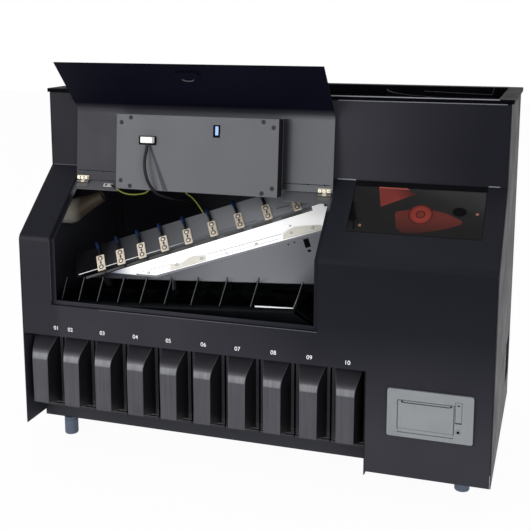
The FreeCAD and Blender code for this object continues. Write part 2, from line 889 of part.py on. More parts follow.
def make_coin_chutes():
    """Walls, and dividers that lead each track exit to its drawer, set edge to edge."""
    foot = d.band_bottom + d.deck + d.seam
    half = d.chute_wall / 2
    front = d.chute_front
    back = d.chute_back
    right = d.column_left - d.skin
    span = d.chute_last - d.chute_first

    def along(x, first, gain):
        return first + gain * (x - d.chute_first) / span

    def mouth_at(x):
        return along(x, d.chute_mouth, d.mouth_gain)

    def upright(name, y, drop):
        """A cross wall under the line of the mouths."""
        x_right = d.chute_last + half
        outline = [
            (d.chute_left, foot), (right, foot), (x_right, mouth_at(x_right) - drop),
            (d.chute_left, mouth_at(d.chute_left) - drop),
        ]
        return prism(name, "XZ", [outline], y, d.chute_wall)

    def rolled_edge():
        roll = doc.addObject("Part::Cylinder", "chute_roll")
        tie(roll, "Radius", d.chute_roll)
        tie(roll, "Height", d.chute_last - d.chute_left)
        way = FreeCAD.Vector(span.value, 0, d.mouth_gain.value)
        spot = FreeCAD.Vector(
            d.chute_left.value, (front + d.chute_roll).value,
            (mouth_at(d.chute_left) - d.chute_roll).value,
        )
        roll.Placement = FreeCAD.Placement(spot, FreeCAD.Rotation(Z_AXIS, way))
        return roll

    def front_solid(name):
        return fuse(name, [upright(name + "_wall", front, d.chute_roll), rolled_edge()])

    def fin(x, tip):
        """A divider's fin: upright in section, its top leaning to the right."""
        mouth = mouth_at(x)
        foot_z = mouth - d.chute_wall
        tip_y = front + along(x, d.fin_lean, d.lean_gain)
        side = [
            (front + half, foot_z), (front + half, mouth), (tip_y, tip), (tip_y + d.fin_tip, tip),
            (tip_y + d.fin_foot, foot_z),
        ]
        solid = prism("chute_fin", "YZ", [side], -half, d.chute_wall)
        pivot = FreeCAD.Vector(x.value, 0, mouth.value)
        turn = FreeCAD.Rotation(Y_AXIS, d.fin_tilt.value)
        tilted = group("chute_fin_tilted", [solid])
        tilted.Placement = FreeCAD.Placement(pivot, turn) * FreeCAD.Placement(
            FreeCAD.Vector(0, 0, -mouth.value), FreeCAD.Rotation()
        )
        return tilted

    pieces = [front_solid("chute_front"), upright("chute_back_wall", back - d.chute_wall, 0)]
    tops = [d.chute_left + half] + CHUTE_TOPS + [d.chute_last]
    feet = [d.chute_left + half]
    for i in range(len(CHUTE_TOPS)):
        feet.append(d.bay_left + drawer_pitch * (i + 1))
    feet.append(right - half)
    tips = [along(x, d.chute_tip, d.tip_gain) for x in tops]
    tips[-1] = tips[-1] - d.last_drop
    for x, x_foot, tip in zip(tops, feet, tips):
        mouth = mouth_at(x)
        side = [
            (x - half, mouth), (x_foot - half, foot), (x_foot + half, foot), (x + half, mouth),
        ]
        slab = prism("chute_divider", "XZ", [side], front + half, back - d.chute_wall - front - half)
        below = block(
            "chute_fin_end", (x - d.chute_roll, x + d.chute_roll), (front, back),
            (mouth - d.chute_roll, mouth),
        )
        pieces.append(cut("chute_slab", slab, [front_solid("chute_front_cut")]))
        pieces.append(cut("chute_rib", fin(x, tip), [below, front_solid("chute_front_cut")]))
    node(group("coin_chutes", pieces))


# Sorter plate, coin track and solenoids

SORTER = on_slope(d.sorter_depth)
TRACK = SORTER * FreeCAD.Placement(
    FreeCAD.Vector(d.track_x.value, d.track_rise.value, 0),
    FreeCAD.Rotation(Z_AXIS, d.track_tilt.value),
)


def track_node(thing):
    return node(thing, CASE * TRACK)


def track_low(run):
    """How far the track's lower edge lies below its upper one at that run."""
    return d.track_low_start + (d.track_low_end - d.track_low_start) * run / d.track_length


def track_point(run, rise):
    """Coordinates on the sorter plane of a point given along and across the track."""
    x = d.track_x + run * tilt_cos - rise * tilt_sin
    y = d.track_rise + run * tilt_sin + rise * tilt_cos
    return x, y


def leg_under(name, x, top_rise, skin):
    """An upright sheet from the deck to the underside of the inclined plate."""
    foot = d.band_bottom + d.deck + d.seam
    front = d.chute_back + d.ledge
    y_zero, z_zero = under_slope(0, d.sorter_depth + skin / 2)
    low_rise = (front - y_zero) / lean
    rear = y_zero + top_rise * lean
    side = [
        (front, foot), (rear, foot), (rear, z_zero + top_rise * climb), (front, z_zero + low_rise * climb),
    ]
    return prism(name, "YZ", [side], x, skin)


def make_sorter_plate():
    margin = d.sorter_skin
    top = d.bridge_high + margin
    left_corner = track_point(d.bridge_left - 2 * margin, top)
    run_at_top = (d.sorter_high - d.track_rise - top * tilt_cos) / tilt_sin
    outline = [
        (d.sorter_left, d.sorter_low_left), (d.sorter_right, d.sorter_low_right),
        (d.sorter_right, d.sorter_high), track_point(run_at_top, top), left_corner,
    ]
    plate = prism("sorter_sheet", "XY", [outline], -d.sorter_skin, d.sorter_skin)
    through = 3 * d.sorter_skin
    sensor_right = d.sensor_run + d.sensor_width
    slot_top = -track_low(sensor_right) - margin
    slot_low = slot_top - d.sensor_length
    slot = block("sensor_slot", (d.sensor_run, sensor_right), (slot_low, slot_top), (-through, through))
    spot = (d.sensor_run + d.sensor_width / 2, slot_low - d.sensor_drop)
    tools = [slot, rod("sensor_hole", "z", spot, -through, 2 * through, d.sensor_radius)]
    for run in SOLENOID_RUNS:
        spot = (run, d.kicker_rise)
        tools.append(rod("kicker_hole", "z", spot, -through, 2 * through, d.plunger_radius + d.seam))
    cutter = fuse("sorter_holes", tools)
    cutter.Placement = SORTER.inverse() * TRACK
    face = cut("sorter_face", plate, [cutter])
    face.Placement = SORTER
    left_leg = leg_under("sorter_leg", d.leg_left, d.leg_left_top, d.sorter_skin)
    right_leg = leg_under(
        "sorter_leg", d.sorter_right - d.sorter_skin, d.sorter_high - d.ledge, d.sorter_skin
    )
    node(fuse("sorter_plate", [face, left_leg, right_leg]))


def make_coin_rail():
    """The polished track: a flat band, a ledge along its lower edge and a stop at the top."""
    lift = d.seam
    skin = d.track_skin
    end = d.track_length
    low_start = -d.track_low_start
    low_end = -d.track_low_end
    outline = [(0, 0), (0, low_start), (end, low_end), (end, 0)]
    band = prism("rail_band", "XY", [outline], lift, skin)
    ledge = [
        (0, low_start), (end, low_end), (end, low_end + d.track_ledge), (0, low_start + d.track_ledge),
    ]
    edge = prism("rail_edge", "XY", [ledge], lift, 2 * skin)
    stop_left = end - d.stop_end
    stop = block(
        "rail_stop", (stop_left, stop_left + d.stop_length), (-skin, d.stop_height), (lift, lift + skin)
    )
    deep = d.track_low_end + skin
    corner = [(-skin, skin * tilt_sin / tilt_cos), (-skin, -deep), (deep * tilt_cos / tilt_sin, -deep)]
    clip = prism("rail_corner", "XY", [corner], -skin, 4 * skin)
    track_node(cut("coin_rail", fuse("rail_solid", [band, edge, stop]), [clip]))


def make_rail_covers():
    """Two clear strips over the lower edge of the track."""
    lift = d.seam + 2 * d.track_skin
    covers = []
    for start in (d.strip_first, d.track_length - d.strip_end):
        end = start + d.strip_length
        outline = [
            (start, -track_low(start)), (end, -track_low(end)), (end, d.strip_width - track_low(end)),
            (start, d.strip_width - track_low(start)),
        ]
        covers.append(prism("rail_strip", "XY", [outline], lift, d.strip_skin))
    track_node(group("rail_covers", covers))


def make_solenoid_plate():
    """The raised plate over the track that carries the solenoid brackets, with folded edges."""
    lift = d.bridge_lift
    skin = d.sorter_skin
    left_top = d.bridge_left + d.bridge_slant
    outline = [
        (d.bridge_left, d.bridge_low), (d.bridge_right, d.bridge_low), (d.bridge_right, d.bridge_high),
        (left_top, d.bridge_high),
    ]
    face = prism("bridge_face", "XY", [outline], lift, skin)
    low_fold = block(
        "bridge_fold", (d.bridge_left + skin, d.bridge_right), (d.bridge_low, d.bridge_low + skin),
        (d.seam, lift + skin),
    )
    high_fold = block(
        "bridge_fold", (left_top, d.bridge_right), (d.bridge_high - skin, d.bridge_high),
        (d.seam, lift + skin),
    )
    track_node(fuse("solenoid_plate", [face, low_fold, high_fold]))


def make_solenoids():
    """Nine solenoids: a bracket in front, a coil behind the plate and a sliding plunger."""
    face = d.bridge_lift + d.sorter_skin
    behind = -d.sorter_skin - d.seam
    brackets = []
    coils = []
    for number, run in enumerate(SOLENOID_RUNS, start=1):
        wide = d.bracket_width / 2
        tall = d.bracket_length / 2
        brackets.append(block(
            "bracket_plate", (run - wide, run + wide), (d.bracket_mid - tall, d.bracket_mid + tall),
            (face, face + d.bracket_skin),
        ))
        spot = (run, d.kicker_rise)
        can = rod("coil_can", "z", spot, behind - d.coil_length, d.coil_length, d.coil_radius)
        bore = rod(
            "coil_bore", "z", spot, behind - 2 * d.coil_length, 3 * d.coil_length,
            d.plunger_radius + d.plunger_fit,
        )
        coils.append(cut("coil", can, [bore]))
        back = -d.plunger_length
        top = d.paddle_lift + d.paddle_skin
        plunger = rod("plunger", "z", spot, back, top - back, d.plunger_radius)
        half = d.paddle_width / 2
        paddle = block(
            "paddle", (run - d.paddle_length, run + d.plunger_radius),
            (d.kicker_rise - half, d.kicker_rise + half), (d.paddle_lift, top),
        )
        track_node(fuse("kicker_%02d" % number, [plunger, paddle]))
    track_node(group("solenoid_brackets", brackets))
    track_node(group("solenoid_coils", coils))


# Sorting disc


def make_disc():
    x = d.disc_x
    y = d.disc_rise
    skin = d.ring_wall
    low = y - d.disc_plate_half
    high = y + d.disc_plate_half
    plate = block("disc_plate", (d.sorter_right + d.seam, inner_right), (low, high), (-skin, 0))
    inner = d.disc_radius + d.disc_gap
    ring = rod("ring_out", "z", (x, y), -skin / 2, skin / 2 + d.ring_height, inner + skin)
    bowl = rod("ring_in", "z", (x, y), 0, 2 * d.ring_height, inner)
    gate = block(
        "ring_gate", (x - inner - 2 * skin, x - inner / 2), (y, y + inner / 2), (0, 2 * d.ring_height)
    )
    hole = rod("shaft_hole", "z", (x, y), -2 * skin, 4 * skin, d.shaft_radius + d.disc_gap)
    low_cut = block(
        "ring_trim", (x - 2 * inner, x + 2 * inner), (y - 2 * inner, low), (-2 * skin, 2 * d.ring_height)
    )
    guide_low = d.hub_height + 2 * skin
    guide = cut(
        "guide_lens",
        rod("guide_one", "z", (x + skin, y + d.lens_low), guide_low, skin, inner),
        [rod("guide_two", "z", (x + skin, y + d.lens_high), guide_low - skin, 3 * skin, inner)],
    )
    face = cut("disc_face", fuse("disc_solid", [plate, ring]), [bowl, gate, hole, low_cut])
    housing = fuse("disc_set", [face, guide])
    housing.Placement = SORTER
    leg = leg_under("disc_leg", inner_right - 2 * skin, high - skin, skin)
    node(fuse("disc_housing", [housing, leg]))
    disc = rod("disc_wheel", "z", (x, y), d.disc_gap, d.disc_skin, d.disc_radius)
    top = d.disc_gap + d.disc_skin
    hub = rod("disc_hub", "z", (x, y), top - d.disc_gap, d.hub_height - top, d.hub_radius)
    cap = rod("disc_cap", "z", (x, y), top - d.disc_gap, d.hub_height - top + d.disc_gap, d.hub_radius / 2)
    shaft = rod("disc_shaft", "z", (x, y), -d.shaft_length, d.shaft_length + top, d.shaft_radius)
    pins = []
    pin_count = int(d.pin_count.value)
    for i in range(pin_count):
        angle = math.radians(FULL_TURN * i / pin_count + d.pin_start.value)
        spot = (x + math.cos(angle) * d.pin_ring, y + math.sin(angle) * d.pin_ring)
        pins.append(rod("disc_pin", "z", spot, top - d.disc_gap, d.pin_height, d.hub_radius / 2))
    node(fuse("coin_disc", [disc, hub, cap, shaft] + pins), CASE * SORTER)
    back = -skin - d.seam - d.motor_length
    can = rod("motor_can", "z", (x, y), back, d.motor_length, d.motor_radius)
    neck = rod("motor_end", "z", (x, y), back - d.motor_radius, 2 * d.motor_radius, d.motor_end_radius)
    bore_end = -d.shaft_length - d.seam
    bore = rod("motor_bore", "z", (x, y), bore_end, d.motor_length, d.shaft_radius + d.shaft_fit)
    node(cut("disc_motor", fuse("motor_solid", [can, neck]), [bore]), CASE * SORTER)


def make_window_pane():
    low = d.window_low + d.seam
    high = d.window_high - d.seam
    body = new_body("window_pane")
    section = sloped(low, high, 0, d.pane)
    pad(body, "YZ", [section], d.window_left + d.seam, d.window_right - d.window_left - 2 * d.seam)
    node(body)


def make_top_tray():
    """The coin tray: a rim on the case, a tub under it, and the guide walls inside."""
    rim_low = d.shell_top + d.seam
    rim_high = d.shell_top + d.rim_rise
    left = d.rim_width - d.rim_lip
    right = d.width - left
    front = d.slope_back - d.rim_lip + d.rim_front + d.seam
    rear = d.depth + d.rim_lip - d.rim_rear
    wall = d.tray_wall
    floor = rim_low - d.tray_depth
    body = new_body("tray_shell")
    rim = rectangle(-d.rim_lip, d.width + d.rim_lip, d.slope_back - d.rim_lip, d.depth + d.rim_lip)
    pad(body, "XY", [rim], rim_low, rim_high - rim_low)
    tub = rectangle(left - wall, right + wall, front - wall, rear + wall)
    pad(body, "XY", [tub], floor, d.tray_depth)
    pocket(body, "XY", [rectangle(left, right, front, rear)], floor + wall, 2 * d.tray_depth)
    pocket(body, "XY", [(d.feed_x, d.feed_y, d.feed_radius)], floor - wall, 3 * wall)
    doc.recompute()

    def rim_corner(edge):
        middle = edge_middle(edge)
        at_side = min(abs(middle.x + d.rim_lip.value), abs(middle.x - d.width.value - d.rim_lip.value))
        return runs_along(edge, Z_AXIS) and at_side < 0.05

    round_edges(body, d.rim_lip, rim_corner)
    spot = (d.guide_x, d.guide_y)
    wall_low = floor + wall / 2
    wall_tall = d.tray_depth - wall / 2
    outer = rod("guide_out", "z", spot, wall_low, wall_tall, d.guide_radius)
    inner = rod("guide_in", "z", spot, wall_low - wall, wall_tall + 3 * wall, d.guide_radius - d.guide_skin)
    arc_end_x = d.guide_x - d.guide_end_left
    arc_end_y = d.guide_y - d.guide_end_front
    keep = block(
        "guide_keep", (left, arc_end_x), (arc_end_y, rear + wall / 2), (wall_low, wall_low + wall_tall)
    )
    arc = doc.addObject("Part::Common", "guide_arc")
    arc.Base = cut("guide_ring", outer, [inner])
    arc.Tool = keep
    turn_x = d.guide_skin
    straight = prism("guide_straight", "XY", [[
        (arc_end_x - turn_x, arc_end_y), (arc_end_x + d.guide_straight, front - wall / 2),
        (arc_end_x + d.guide_straight + turn_x, front - wall / 2), (arc_end_x, arc_end_y + turn_x),
    ]], wall_low, wall_tall)
    shelf_low = d.shell_top - d.shelf_drop - wall
    shelf_round = rod("shelf_round", "z", spot, shelf_low, wall, d.guide_radius - d.guide_skin / 2)
    shelf_keep = block(
        "shelf_keep", (left, d.shelf_right), (d.shelf_front, rear + wall / 2), (shelf_low, shelf_low + wall)
    )
    shelf = doc.addObject("Part::Common", "tray_shelf")
    shelf.Base = shelf_round
    shelf.Tool = shelf_keep
    node(fuse("top_tray", [body, arc, straight, shelf]))


def make_dust_duct():
    """The clear air duct in the upper left corner of the service opening: a stub and a cone."""
    way = FreeCAD.Vector(d.duct_run.value, d.duct_back.value, d.duct_climb.value)
    bend = FreeCAD.Vector((inner_left + d.duct_stub).value, d.duct_y.value, d.duct_z.value)
    cone_length = root(d.duct_run * d.duct_run + d.duct_back * d.duct_back + d.duct_climb * d.duct_climb)

    def hollow(name, inset, beyond):
        """The duct's outer or inner form; beyond lets the inner one run out of both ends."""
        wide = d.duct_radius - inset
        tip = d.duct_tip - inset
        stub = rod(
            name + "_stub", "x", (d.duct_y, d.duct_z), inner_left - beyond, d.duct_stub + beyond, wide
        )
        ball = doc.addObject("Part::Sphere", name + "_bend")
        tie(ball, "Radius", wide)
        ball.Placement = FreeCAD.Placement(bend, FreeCAD.Rotation())
        cone = doc.addObject("Part::Cone", name + "_cone")
        taper = (wide - tip) / cone_length
        tie(cone, "Radius1", wide)
        tie(cone, "Radius2", tip - taper * beyond)
        tie(cone, "Height", cone_length + beyond)
        cone.Placement = FreeCAD.Placement(bend, FreeCAD.Rotation(Z_AXIS, way))
        return fuse(name, [stub, ball, cone])

    node(cut("dust_duct", hollow("duct_out", length(0), length(0)), [
        hollow("duct_in", d.duct_wall, d.duct_wall)
    ]))


# Service door, drawn closed and then swung open about its hinge line


def hinge_line():
    return under_slope(d.hinge_reach, d.hinge_depth)


def door_placement():
    y, z = hinge_line()
    pivot = FreeCAD.Placement(FreeCAD.Vector(0, y.value, z.value), FreeCAD.Rotation())
    swing = FreeCAD.Placement(FreeCAD.Vector(), FreeCAD.Rotation(X_AXIS, -d.door_open.value))
    return CASE * pivot * swing * pivot.inverse()


DOOR = door_placement()


def make_service_door():
    body = new_body("service_door")
    left = d.opening_left + d.door_gap
    wide = d.opening_right - d.door_gap - left
    low = d.opening_bottom + d.door_gap
    sheet_section = folded(low, d.hinge_reach - d.hinge_edge, 0, d.door_skin)
    pad(body, "YZ", [sheet_section], left, wide)
    round_bend(body, 0, d.bend_radius)
    round_bend(body, d.door_skin, d.bend_radius - d.door_skin)
    middle = left + wide / 2
    height = low + d.pull_offset
    half = (d.pull_width - d.pull_height) / 2
    for radius, start, span, step in (
        (d.pull_height / 2, d.door_skin / 2, d.pull_depth - d.door_skin / 2, pad),
        (d.pull_height / 2 - d.door_skin, -d.door_skin, d.pull_depth, pocket),
    ):
        straight = rectangle(middle - half, middle + half, height - radius, height + radius)
        step(body, "XZ", [straight], start, span)
        for x in (middle - half, middle + half):
            step(body, "XZ", [(x, height, radius)], start, span)
    node(body, DOOR)


def make_electronics_box():
    skin = d.skin
    outer = prism(
        "box_outer", "YZ", [sloped(d.box_low, d.box_high, d.door_skin, d.door_skin + d.box_depth)],
        d.box_left, d.box_right - d.box_left,
    )
    inner = prism(
        "box_inner", "YZ",
        [sloped(d.box_low + skin, d.box_high - skin, d.door_skin + skin, d.door_skin + d.box_depth - skin)],
        d.box_left + skin, d.box_right - d.box_left - 2 * skin,
    )
    half = d.port_height / 2
    face = d.door_skin + d.box_depth
    port = prism(
        "box_port", "YZ",
        [sloped(d.port_reach - half, d.port_reach + half, face - 2 * skin, face + skin)],
        d.port_x - d.port_width / 2, d.port_width,
    )
    node(cut("electronics_box", outer, [inner, port]), DOOR)


def make_display_screen():
    middle = (d.opening_left + d.opening_right) / 2
    centre = d.hinge_reach / 2
    section = sloped(centre - d.screen_height / 2, centre + d.screen_height / 2, -d.screen_skin, 0)
    screen = prism("screen_glass", "YZ", [section], middle - d.screen_width / 2, d.screen_width)
    node(group("display_screen", [screen]), DOOR)


def screw(spot, start, rise):
    return rod("screw", "z", spot, start, rise, d.screw_head)


def make_box_screws():
    heads = []
    for x, away in ((d.box_left, 1), (d.box_right, -1)):
        for reach, inward in ((d.box_low, 1), (d.box_high, -1)):
            near_spot = (x + away * d.screw_aside, reach + inward * d.screw_deep)
            far_spot = (x + away * d.screw_far, reach + inward * d.screw_in)
            for spot in (near_spot, far_spot):
                heads.append(screw(spot, -d.screw_rise, d.screw_rise))
    node(group("box_screws", heads), DOOR * on_slope(d.door_skin + d.box_depth))


def hinge_spans():
    """Left edge of each of the two hinges."""
    left = d.opening_left + d.door_gap + d.hinge_inset
    right = d.opening_right - d.door_gap - d.hinge_inset - d.hinge_width
    return left, right


def make_hinge_leaves(on_door):
    """Both hinges' leaves; the frame side keeps the outer knuckles and the pin."""
    y, z = hinge_line()
    third = d.hinge_width / 3
    leaves = []
    for left in hinge_spans():
        near_edge = d.hinge_reach - d.hinge_edge
        far_edge = d.hinge_reach - d.leaf_reach
        if on_door:
            outer = d.door_skin
            inner = d.door_skin + d.leaf
            spans = [(left + third + d.knuckle_gap, left + 2 * third - d.knuckle_gap)]
        else:
            outer = d.rebate - d.leaf
            inner = d.rebate
            spans = [(left, left + third), (left + 2 * third, left + d.hinge_width)]
        parts = [prism("leaf_plate", "YZ", [sloped(far_edge, near_edge, outer, inner)], left, d.hinge_width)]
        for start, end in spans:
            tongue = sloped(near_edge - d.leaf, d.hinge_reach, outer, inner)
            parts.append(prism("leaf_tongue", "YZ", [tongue], start, end - start))
            parts.append(rod("knuckle", "x", (y, z), start, end - start, d.knuckle_radius))
        solid = fuse("leaf_solid", parts)
        if on_door:
            bore = rod("knuckle_bore", "x", (y, z), left, d.hinge_width, d.pin_radius + d.pin_fit)
            leaves.append(cut("leaf_bored", solid, [bore]))
        else:
            hinge_pin = rod("hinge_pin", "x", (y, z), left, d.hinge_width, d.pin_radius)
            leaves.append(fuse("leaf_pinned", [solid, hinge_pin]))
    if on_door:
        node(group("door_hinges", leaves), DOOR)
    else:
        node(group("frame_hinges", leaves))


def make_case_screws():
    """Bracket and hinge screws of the case, all with the same head."""
    face = d.bridge_lift + d.sorter_skin + d.bracket_skin
    heads = []
    for run in SOLENOID_RUNS:
        for side in (-1, 1):
            heads.append(screw((run, d.bracket_mid + side * d.bracket_hole), face, d.screw_rise))
    on_track = group("bracket_screws", heads)
    on_track.Placement = TRACK
    heads = []
    reach = d.hinge_reach - (d.hinge_edge + d.leaf_reach) / 2
    for left in hinge_spans():
        for x in (left + d.hinge_width / 4, left + d.hinge_width * 3 / 4):
            heads.append(rod("hinge_screw", "z", (x, reach), 0, d.flat_rise, d.hinge_head))
    on_frame = group("hinge_screws", heads)
    on_frame.Placement = on_slope(d.rebate - d.leaf)
    node(group("case_screws", [on_track, on_frame]))


# Ticket printer

bezel_right = d.bezel_left + d.bezel_width
bezel_high = d.bezel_low + d.bezel_height
flap_left = d.bezel_left + d.cover_left
flap_right = flap_left + d.cover_width
flap_low = d.bezel_low + d.cover_low
flap_high = flap_low + d.cover_height
flap_front = -d.bezel_proud - d.cover_proud
flap_axis = flap_front + d.cover_skin / 2
lever_left = d.bezel_left + d.lever_left
lever_low = d.bezel_low + d.lever_low
key_x = d.bezel_left + d.key_x
key_z = d.bezel_low + d.key_z


def flap(name, left, right, low, high):
    """A hinged plate with a round lower edge and a pivot pin at each side of it."""
    half = d.cover_skin / 2
    plate = block(name + "_plate", (left, right), (flap_front, flap_front + d.cover_skin), (low + half, high))
    edge = rod(name + "_edge", "x", (flap_axis, low + half), left, right - left, half)
    reach = d.cover_fit + d.pivot_reach
    wide = right - left + 2 * reach
    pivot = rod(name + "_pivot", "x", (flap_axis, low + half), left - reach, wide, d.pivot_radius)
    return fuse(name + "_solid", [plate, edge, pivot])


def pivot_bore(left, right, low):
    """Bores for the two pivot pins of a flap in the plate around it."""
    reach = d.cover_fit + d.pivot_reach + d.pivot_fit
    centre = (flap_axis, low + d.cover_skin / 2)
    wide = right - left + 2 * reach
    return rod("pivot_bore", "x", centre, left - reach, wide, d.pivot_radius + d.pivot_fit)


def flap_opening(left, right, low, high):
    fit = d.cover_fit
    return block(
        "flap_opening", (left - fit, right + fit), (-2 * d.bezel_proud, d.bezel_proud),
        (low - fit, high + fit),
    )


def make_printer_bezel():
    plate = block(
        "bezel_plate", (d.bezel_left, bezel_right), (-d.bezel_proud, -d.seam), (d.bezel_low, bezel_high)
    )
    round_plate = doc.addObject("Part::Fillet", "bezel_rounded")
    round_plate.Base = plate
    doc.recompute()
    radius = d.bezel_corner.value
    upright = [
        (number, radius, radius) for number, edge in enumerate(plate.Shape.Edges, start=1)
        if runs_along(edge, Y_AXIS)
    ]
    round_plate.Edges = upright
    fit = d.cover_fit
    right = lever_left + d.lever_width
    high = lever_low + d.lever_height
    tools = [
        flap_opening(flap_left + fit, flap_right - fit, flap_low + fit, flap_high - fit),
        pivot_bore(flap_left + fit, flap_right - fit, flap_low + fit),
        flap_opening(lever_left, right, lever_low, high),
        pivot_bore(lever_left, right, lever_low),
        rod(
            "key_hole", "y", (key_x, key_z), -2 * d.bezel_proud, 3 * d.bezel_proud,
            d.key_radius + d.pivot_fit,
        ),
    ]
    node(cut("printer_bezel", round_plate, tools))


def make_printer_cover():
    fit = d.cover_fit
    solid = flap("flap", flap_left + fit, flap_right - fit, flap_low + fit, flap_high - fit)
    middle = (flap_left + flap_right) / 2
    top = flap_high - d.slot_drop
    slot = block(
        "ticket_slot", (middle - d.slot_width / 2, middle + d.slot_width / 2),
        (-2 * d.bezel_proud, 2 * d.bezel_proud), (top - d.slot_height, top),
    )
    node(cut("printer_cover", solid, [slot]))


def make_printer_lever():
    right = lever_left + d.lever_width
    node(group("printer_lever", [flap("lever", lever_left, right, lever_low, lever_low + d.lever_height)]))


def make_printer_key():
    start = flap_front - d.key_travel
    stem = rod("key_stem", "y", (key_x, key_z), start, d.bezel_proud - start, d.key_radius)
    node(group("printer_button", [stem]))


def roll_spot():
    return d.roll_back, (flap_low + flap_high) / 2


def make_printer_body():
    """The printer behind its bezel, hollow where the paper roll sits, with the roll's spindle."""
    gap = d.seam
    left = d.bezel_left + d.ledge + gap
    right = bezel_right - d.ledge - gap
    low = flap_low - d.pane + gap
    high = bezel_high - d.ledge - gap
    case = block("printer_case", (left, right), (0, d.printer_depth), (low, high))
    y, z = roll_spot()
    middle = (flap_left + flap_right) / 2
    half_room = d.roll_width / 2 + d.roll_room
    reach = d.roll_radius + d.roll_room
    room = block(
        "roll_room", (middle - half_room, middle + half_room), (-d.ledge, y + reach), (z - reach, z + reach)
    )
    lever_room = block(
        "lever_room", (lever_left - d.cover_fit, right + d.ledge), (-d.ledge, d.key_radius),
        (lever_low, high + gap),
    )
    key_room = rod("key_room", "y", (key_x, key_z), -d.ledge, 2 * d.ledge, d.key_radius + gap)
    shell = cut("printer_shell", case, [room, lever_room, key_room])
    half_span = half_room + gap
    spindle = rod("roll_spindle", "x", (y, z), middle - half_span, 2 * half_span, d.spindle_radius)
    node(fuse("printer_body", [shell, spindle]))


def make_paper_roll():
    y, z = roll_spot()
    middle = (flap_left + flap_right) / 2
    start = middle - d.roll_width / 2
    paper = rod("roll_paper", "x", (y, z), start, d.roll_width, d.roll_radius)
    bore = rod(
        "roll_bore", "x", (y, z), start - d.ledge, d.roll_width + 2 * d.ledge,
        d.spindle_radius + d.spindle_fit,
    )
    node(cut("paper_roll", paper, [bore]))


# Power inlet, switch and supply


def rocker_centre():
    return d.inlet_z + d.inlet_height / 2 - d.rocker_height / 2 - d.ledge


def make_power_inlet():
    back = d.depth + d.seam
    left = d.inlet_x - d.inlet_width / 2
    right = d.inlet_x + d.inlet_width / 2
    low = d.inlet_z - d.inlet_height / 2
    high = d.inlet_z + d.inlet_height / 2
    inset = d.skin + d.seam
    flange = block("inlet_plate", (left, right), (back, back + d.inlet_flange), (low, high))
    barrel = block(
        "inlet_barrel", (left + inset, right - inset), (back - d.inlet_depth, back),
        (low + inset, high - inset),
    )
    fit = d.rocker_fit
    half_wide = d.rocker_width / 2 + fit
    half_tall = d.rocker_height / 2 + fit
    middle = rocker_centre()
    rocker_room = block(
        "rocker_room", (d.inlet_x - half_wide, d.inlet_x + half_wide),
        (back - d.rocker_height, back + d.ledge), (middle - half_tall, middle + half_tall),
    )
    pivots = rod(
        "rocker_bore", "x", (back, middle), d.inlet_x - half_wide - d.pivot_reach - d.pivot_fit,
        2 * (half_wide + d.pivot_reach + d.pivot_fit), d.pivot_radius + d.pivot_fit,
    )
    socket_low = low + d.ledge
    socket = block(
        "socket_room", (d.inlet_x - d.socket_width / 2, d.inlet_x + d.socket_width / 2),
        (back + d.inlet_flange - d.socket_depth, back + d.ledge), (socket_low, socket_low + d.socket_height),
    )
    shell = cut("inlet_shell", fuse("inlet_solid", [flange, barrel]), [rocker_room, pivots, socket])
    blades = []
    for column, rise in ((-1, d.blade_low), (1, d.blade_low), (0, d.blade_high)):
        x = d.inlet_x + column * d.socket_width / 4
        z = socket_low + rise
        blades.append(block(
            "inlet_blade", (x - d.blade_width / 2, x + d.blade_width / 2),
            (back - d.socket_depth, back - d.blade_height), (z - d.blade_height / 2, z + d.blade_height / 2),
        ))
    node(fuse("power_inlet", [shell] + blades))


def rocker_placement():
    back = d.depth + d.seam
    spot = FreeCAD.Placement(FreeCAD.Vector(0, back.value, rocker_centre().value), FreeCAD.Rotation())
    swing = FreeCAD.Placement(FreeCAD.Vector(), FreeCAD.Rotation(X_AXIS, -d.rocker_lean.value))
    return CASE * spot * swing


def make_power_switch():
    """The mains rocker, drawn about its own pivot and leaning to the off side."""
    half = d.rocker_height / 2
    top = d.inlet_flange
    side = [
        (top, -half), (top / 2, 0), (top, half),
        (-d.rocker_skin, d.rocker_back), (-d.rocker_skin, -d.rocker_back),
    ]
    left = d.inlet_x - d.rocker_width / 2
    key = prism("rocker_key", "YZ", [side], left, d.rocker_width)
    reach = d.rocker_fit + d.pivot_reach
    pivot = rod("rocker_pivot", "x", (0, 0), left - reach, d.rocker_width + 2 * reach, d.pivot_radius)
    node(fuse("power_switch", [key, pivot]), rocker_placement())


def make_power_supply():
    foot = -d.pan_drop + d.skin + d.seam
    case = block(
        "supply_case", (d.supply_left, d.supply_left + d.supply_length),
        (d.supply_front, d.supply_front + d.supply_depth), (foot, foot + d.supply_height),
    )
    node(group("power_supply", [case]))


# Cable socket on the door, its plug, and the loose wires


def make_usb_plug():
    z = d.plug_reach
    half = d.plug_height / 2
    outer = d.door_skin + d.box_depth
    plug = prism(
        "plug_shell", "YZ", [sloped(z - half, z + half, outer, outer + d.plug_rise)],
        d.plug_x - d.plug_width / 2, d.plug_width,
    )
    node(group("usb_plug", [plug]), DOOR)


def wire_run(name, points, radius):
    """A lead: round stretches between points chosen by hand, with a ball at each turn."""
    spots = [FreeCAD.Vector(*[length(size).value for size in point]) for point in points]
    pieces = []
    for i in range(len(spots) - 1):
        way = spots[i + 1] - spots[i]
        stretch = doc.addObject("Part::Cylinder", name + "_stretch")
        tie(stretch, "Radius", radius)
        stretch.Height = way.Length
        stretch.Placement = FreeCAD.Placement(spots[i], FreeCAD.Rotation(Z_AXIS, way))
        pieces.append(stretch)
    for spot in spots[1:-1]:
        ball = doc.addObject("Part::Sphere", name + "_turn")
        tie(ball, "Radius", radius)
        ball.Placement = FreeCAD.Placement(spot, FreeCAD.Rotation())
        pieces.append(ball)
    return fuse(name, pieces)


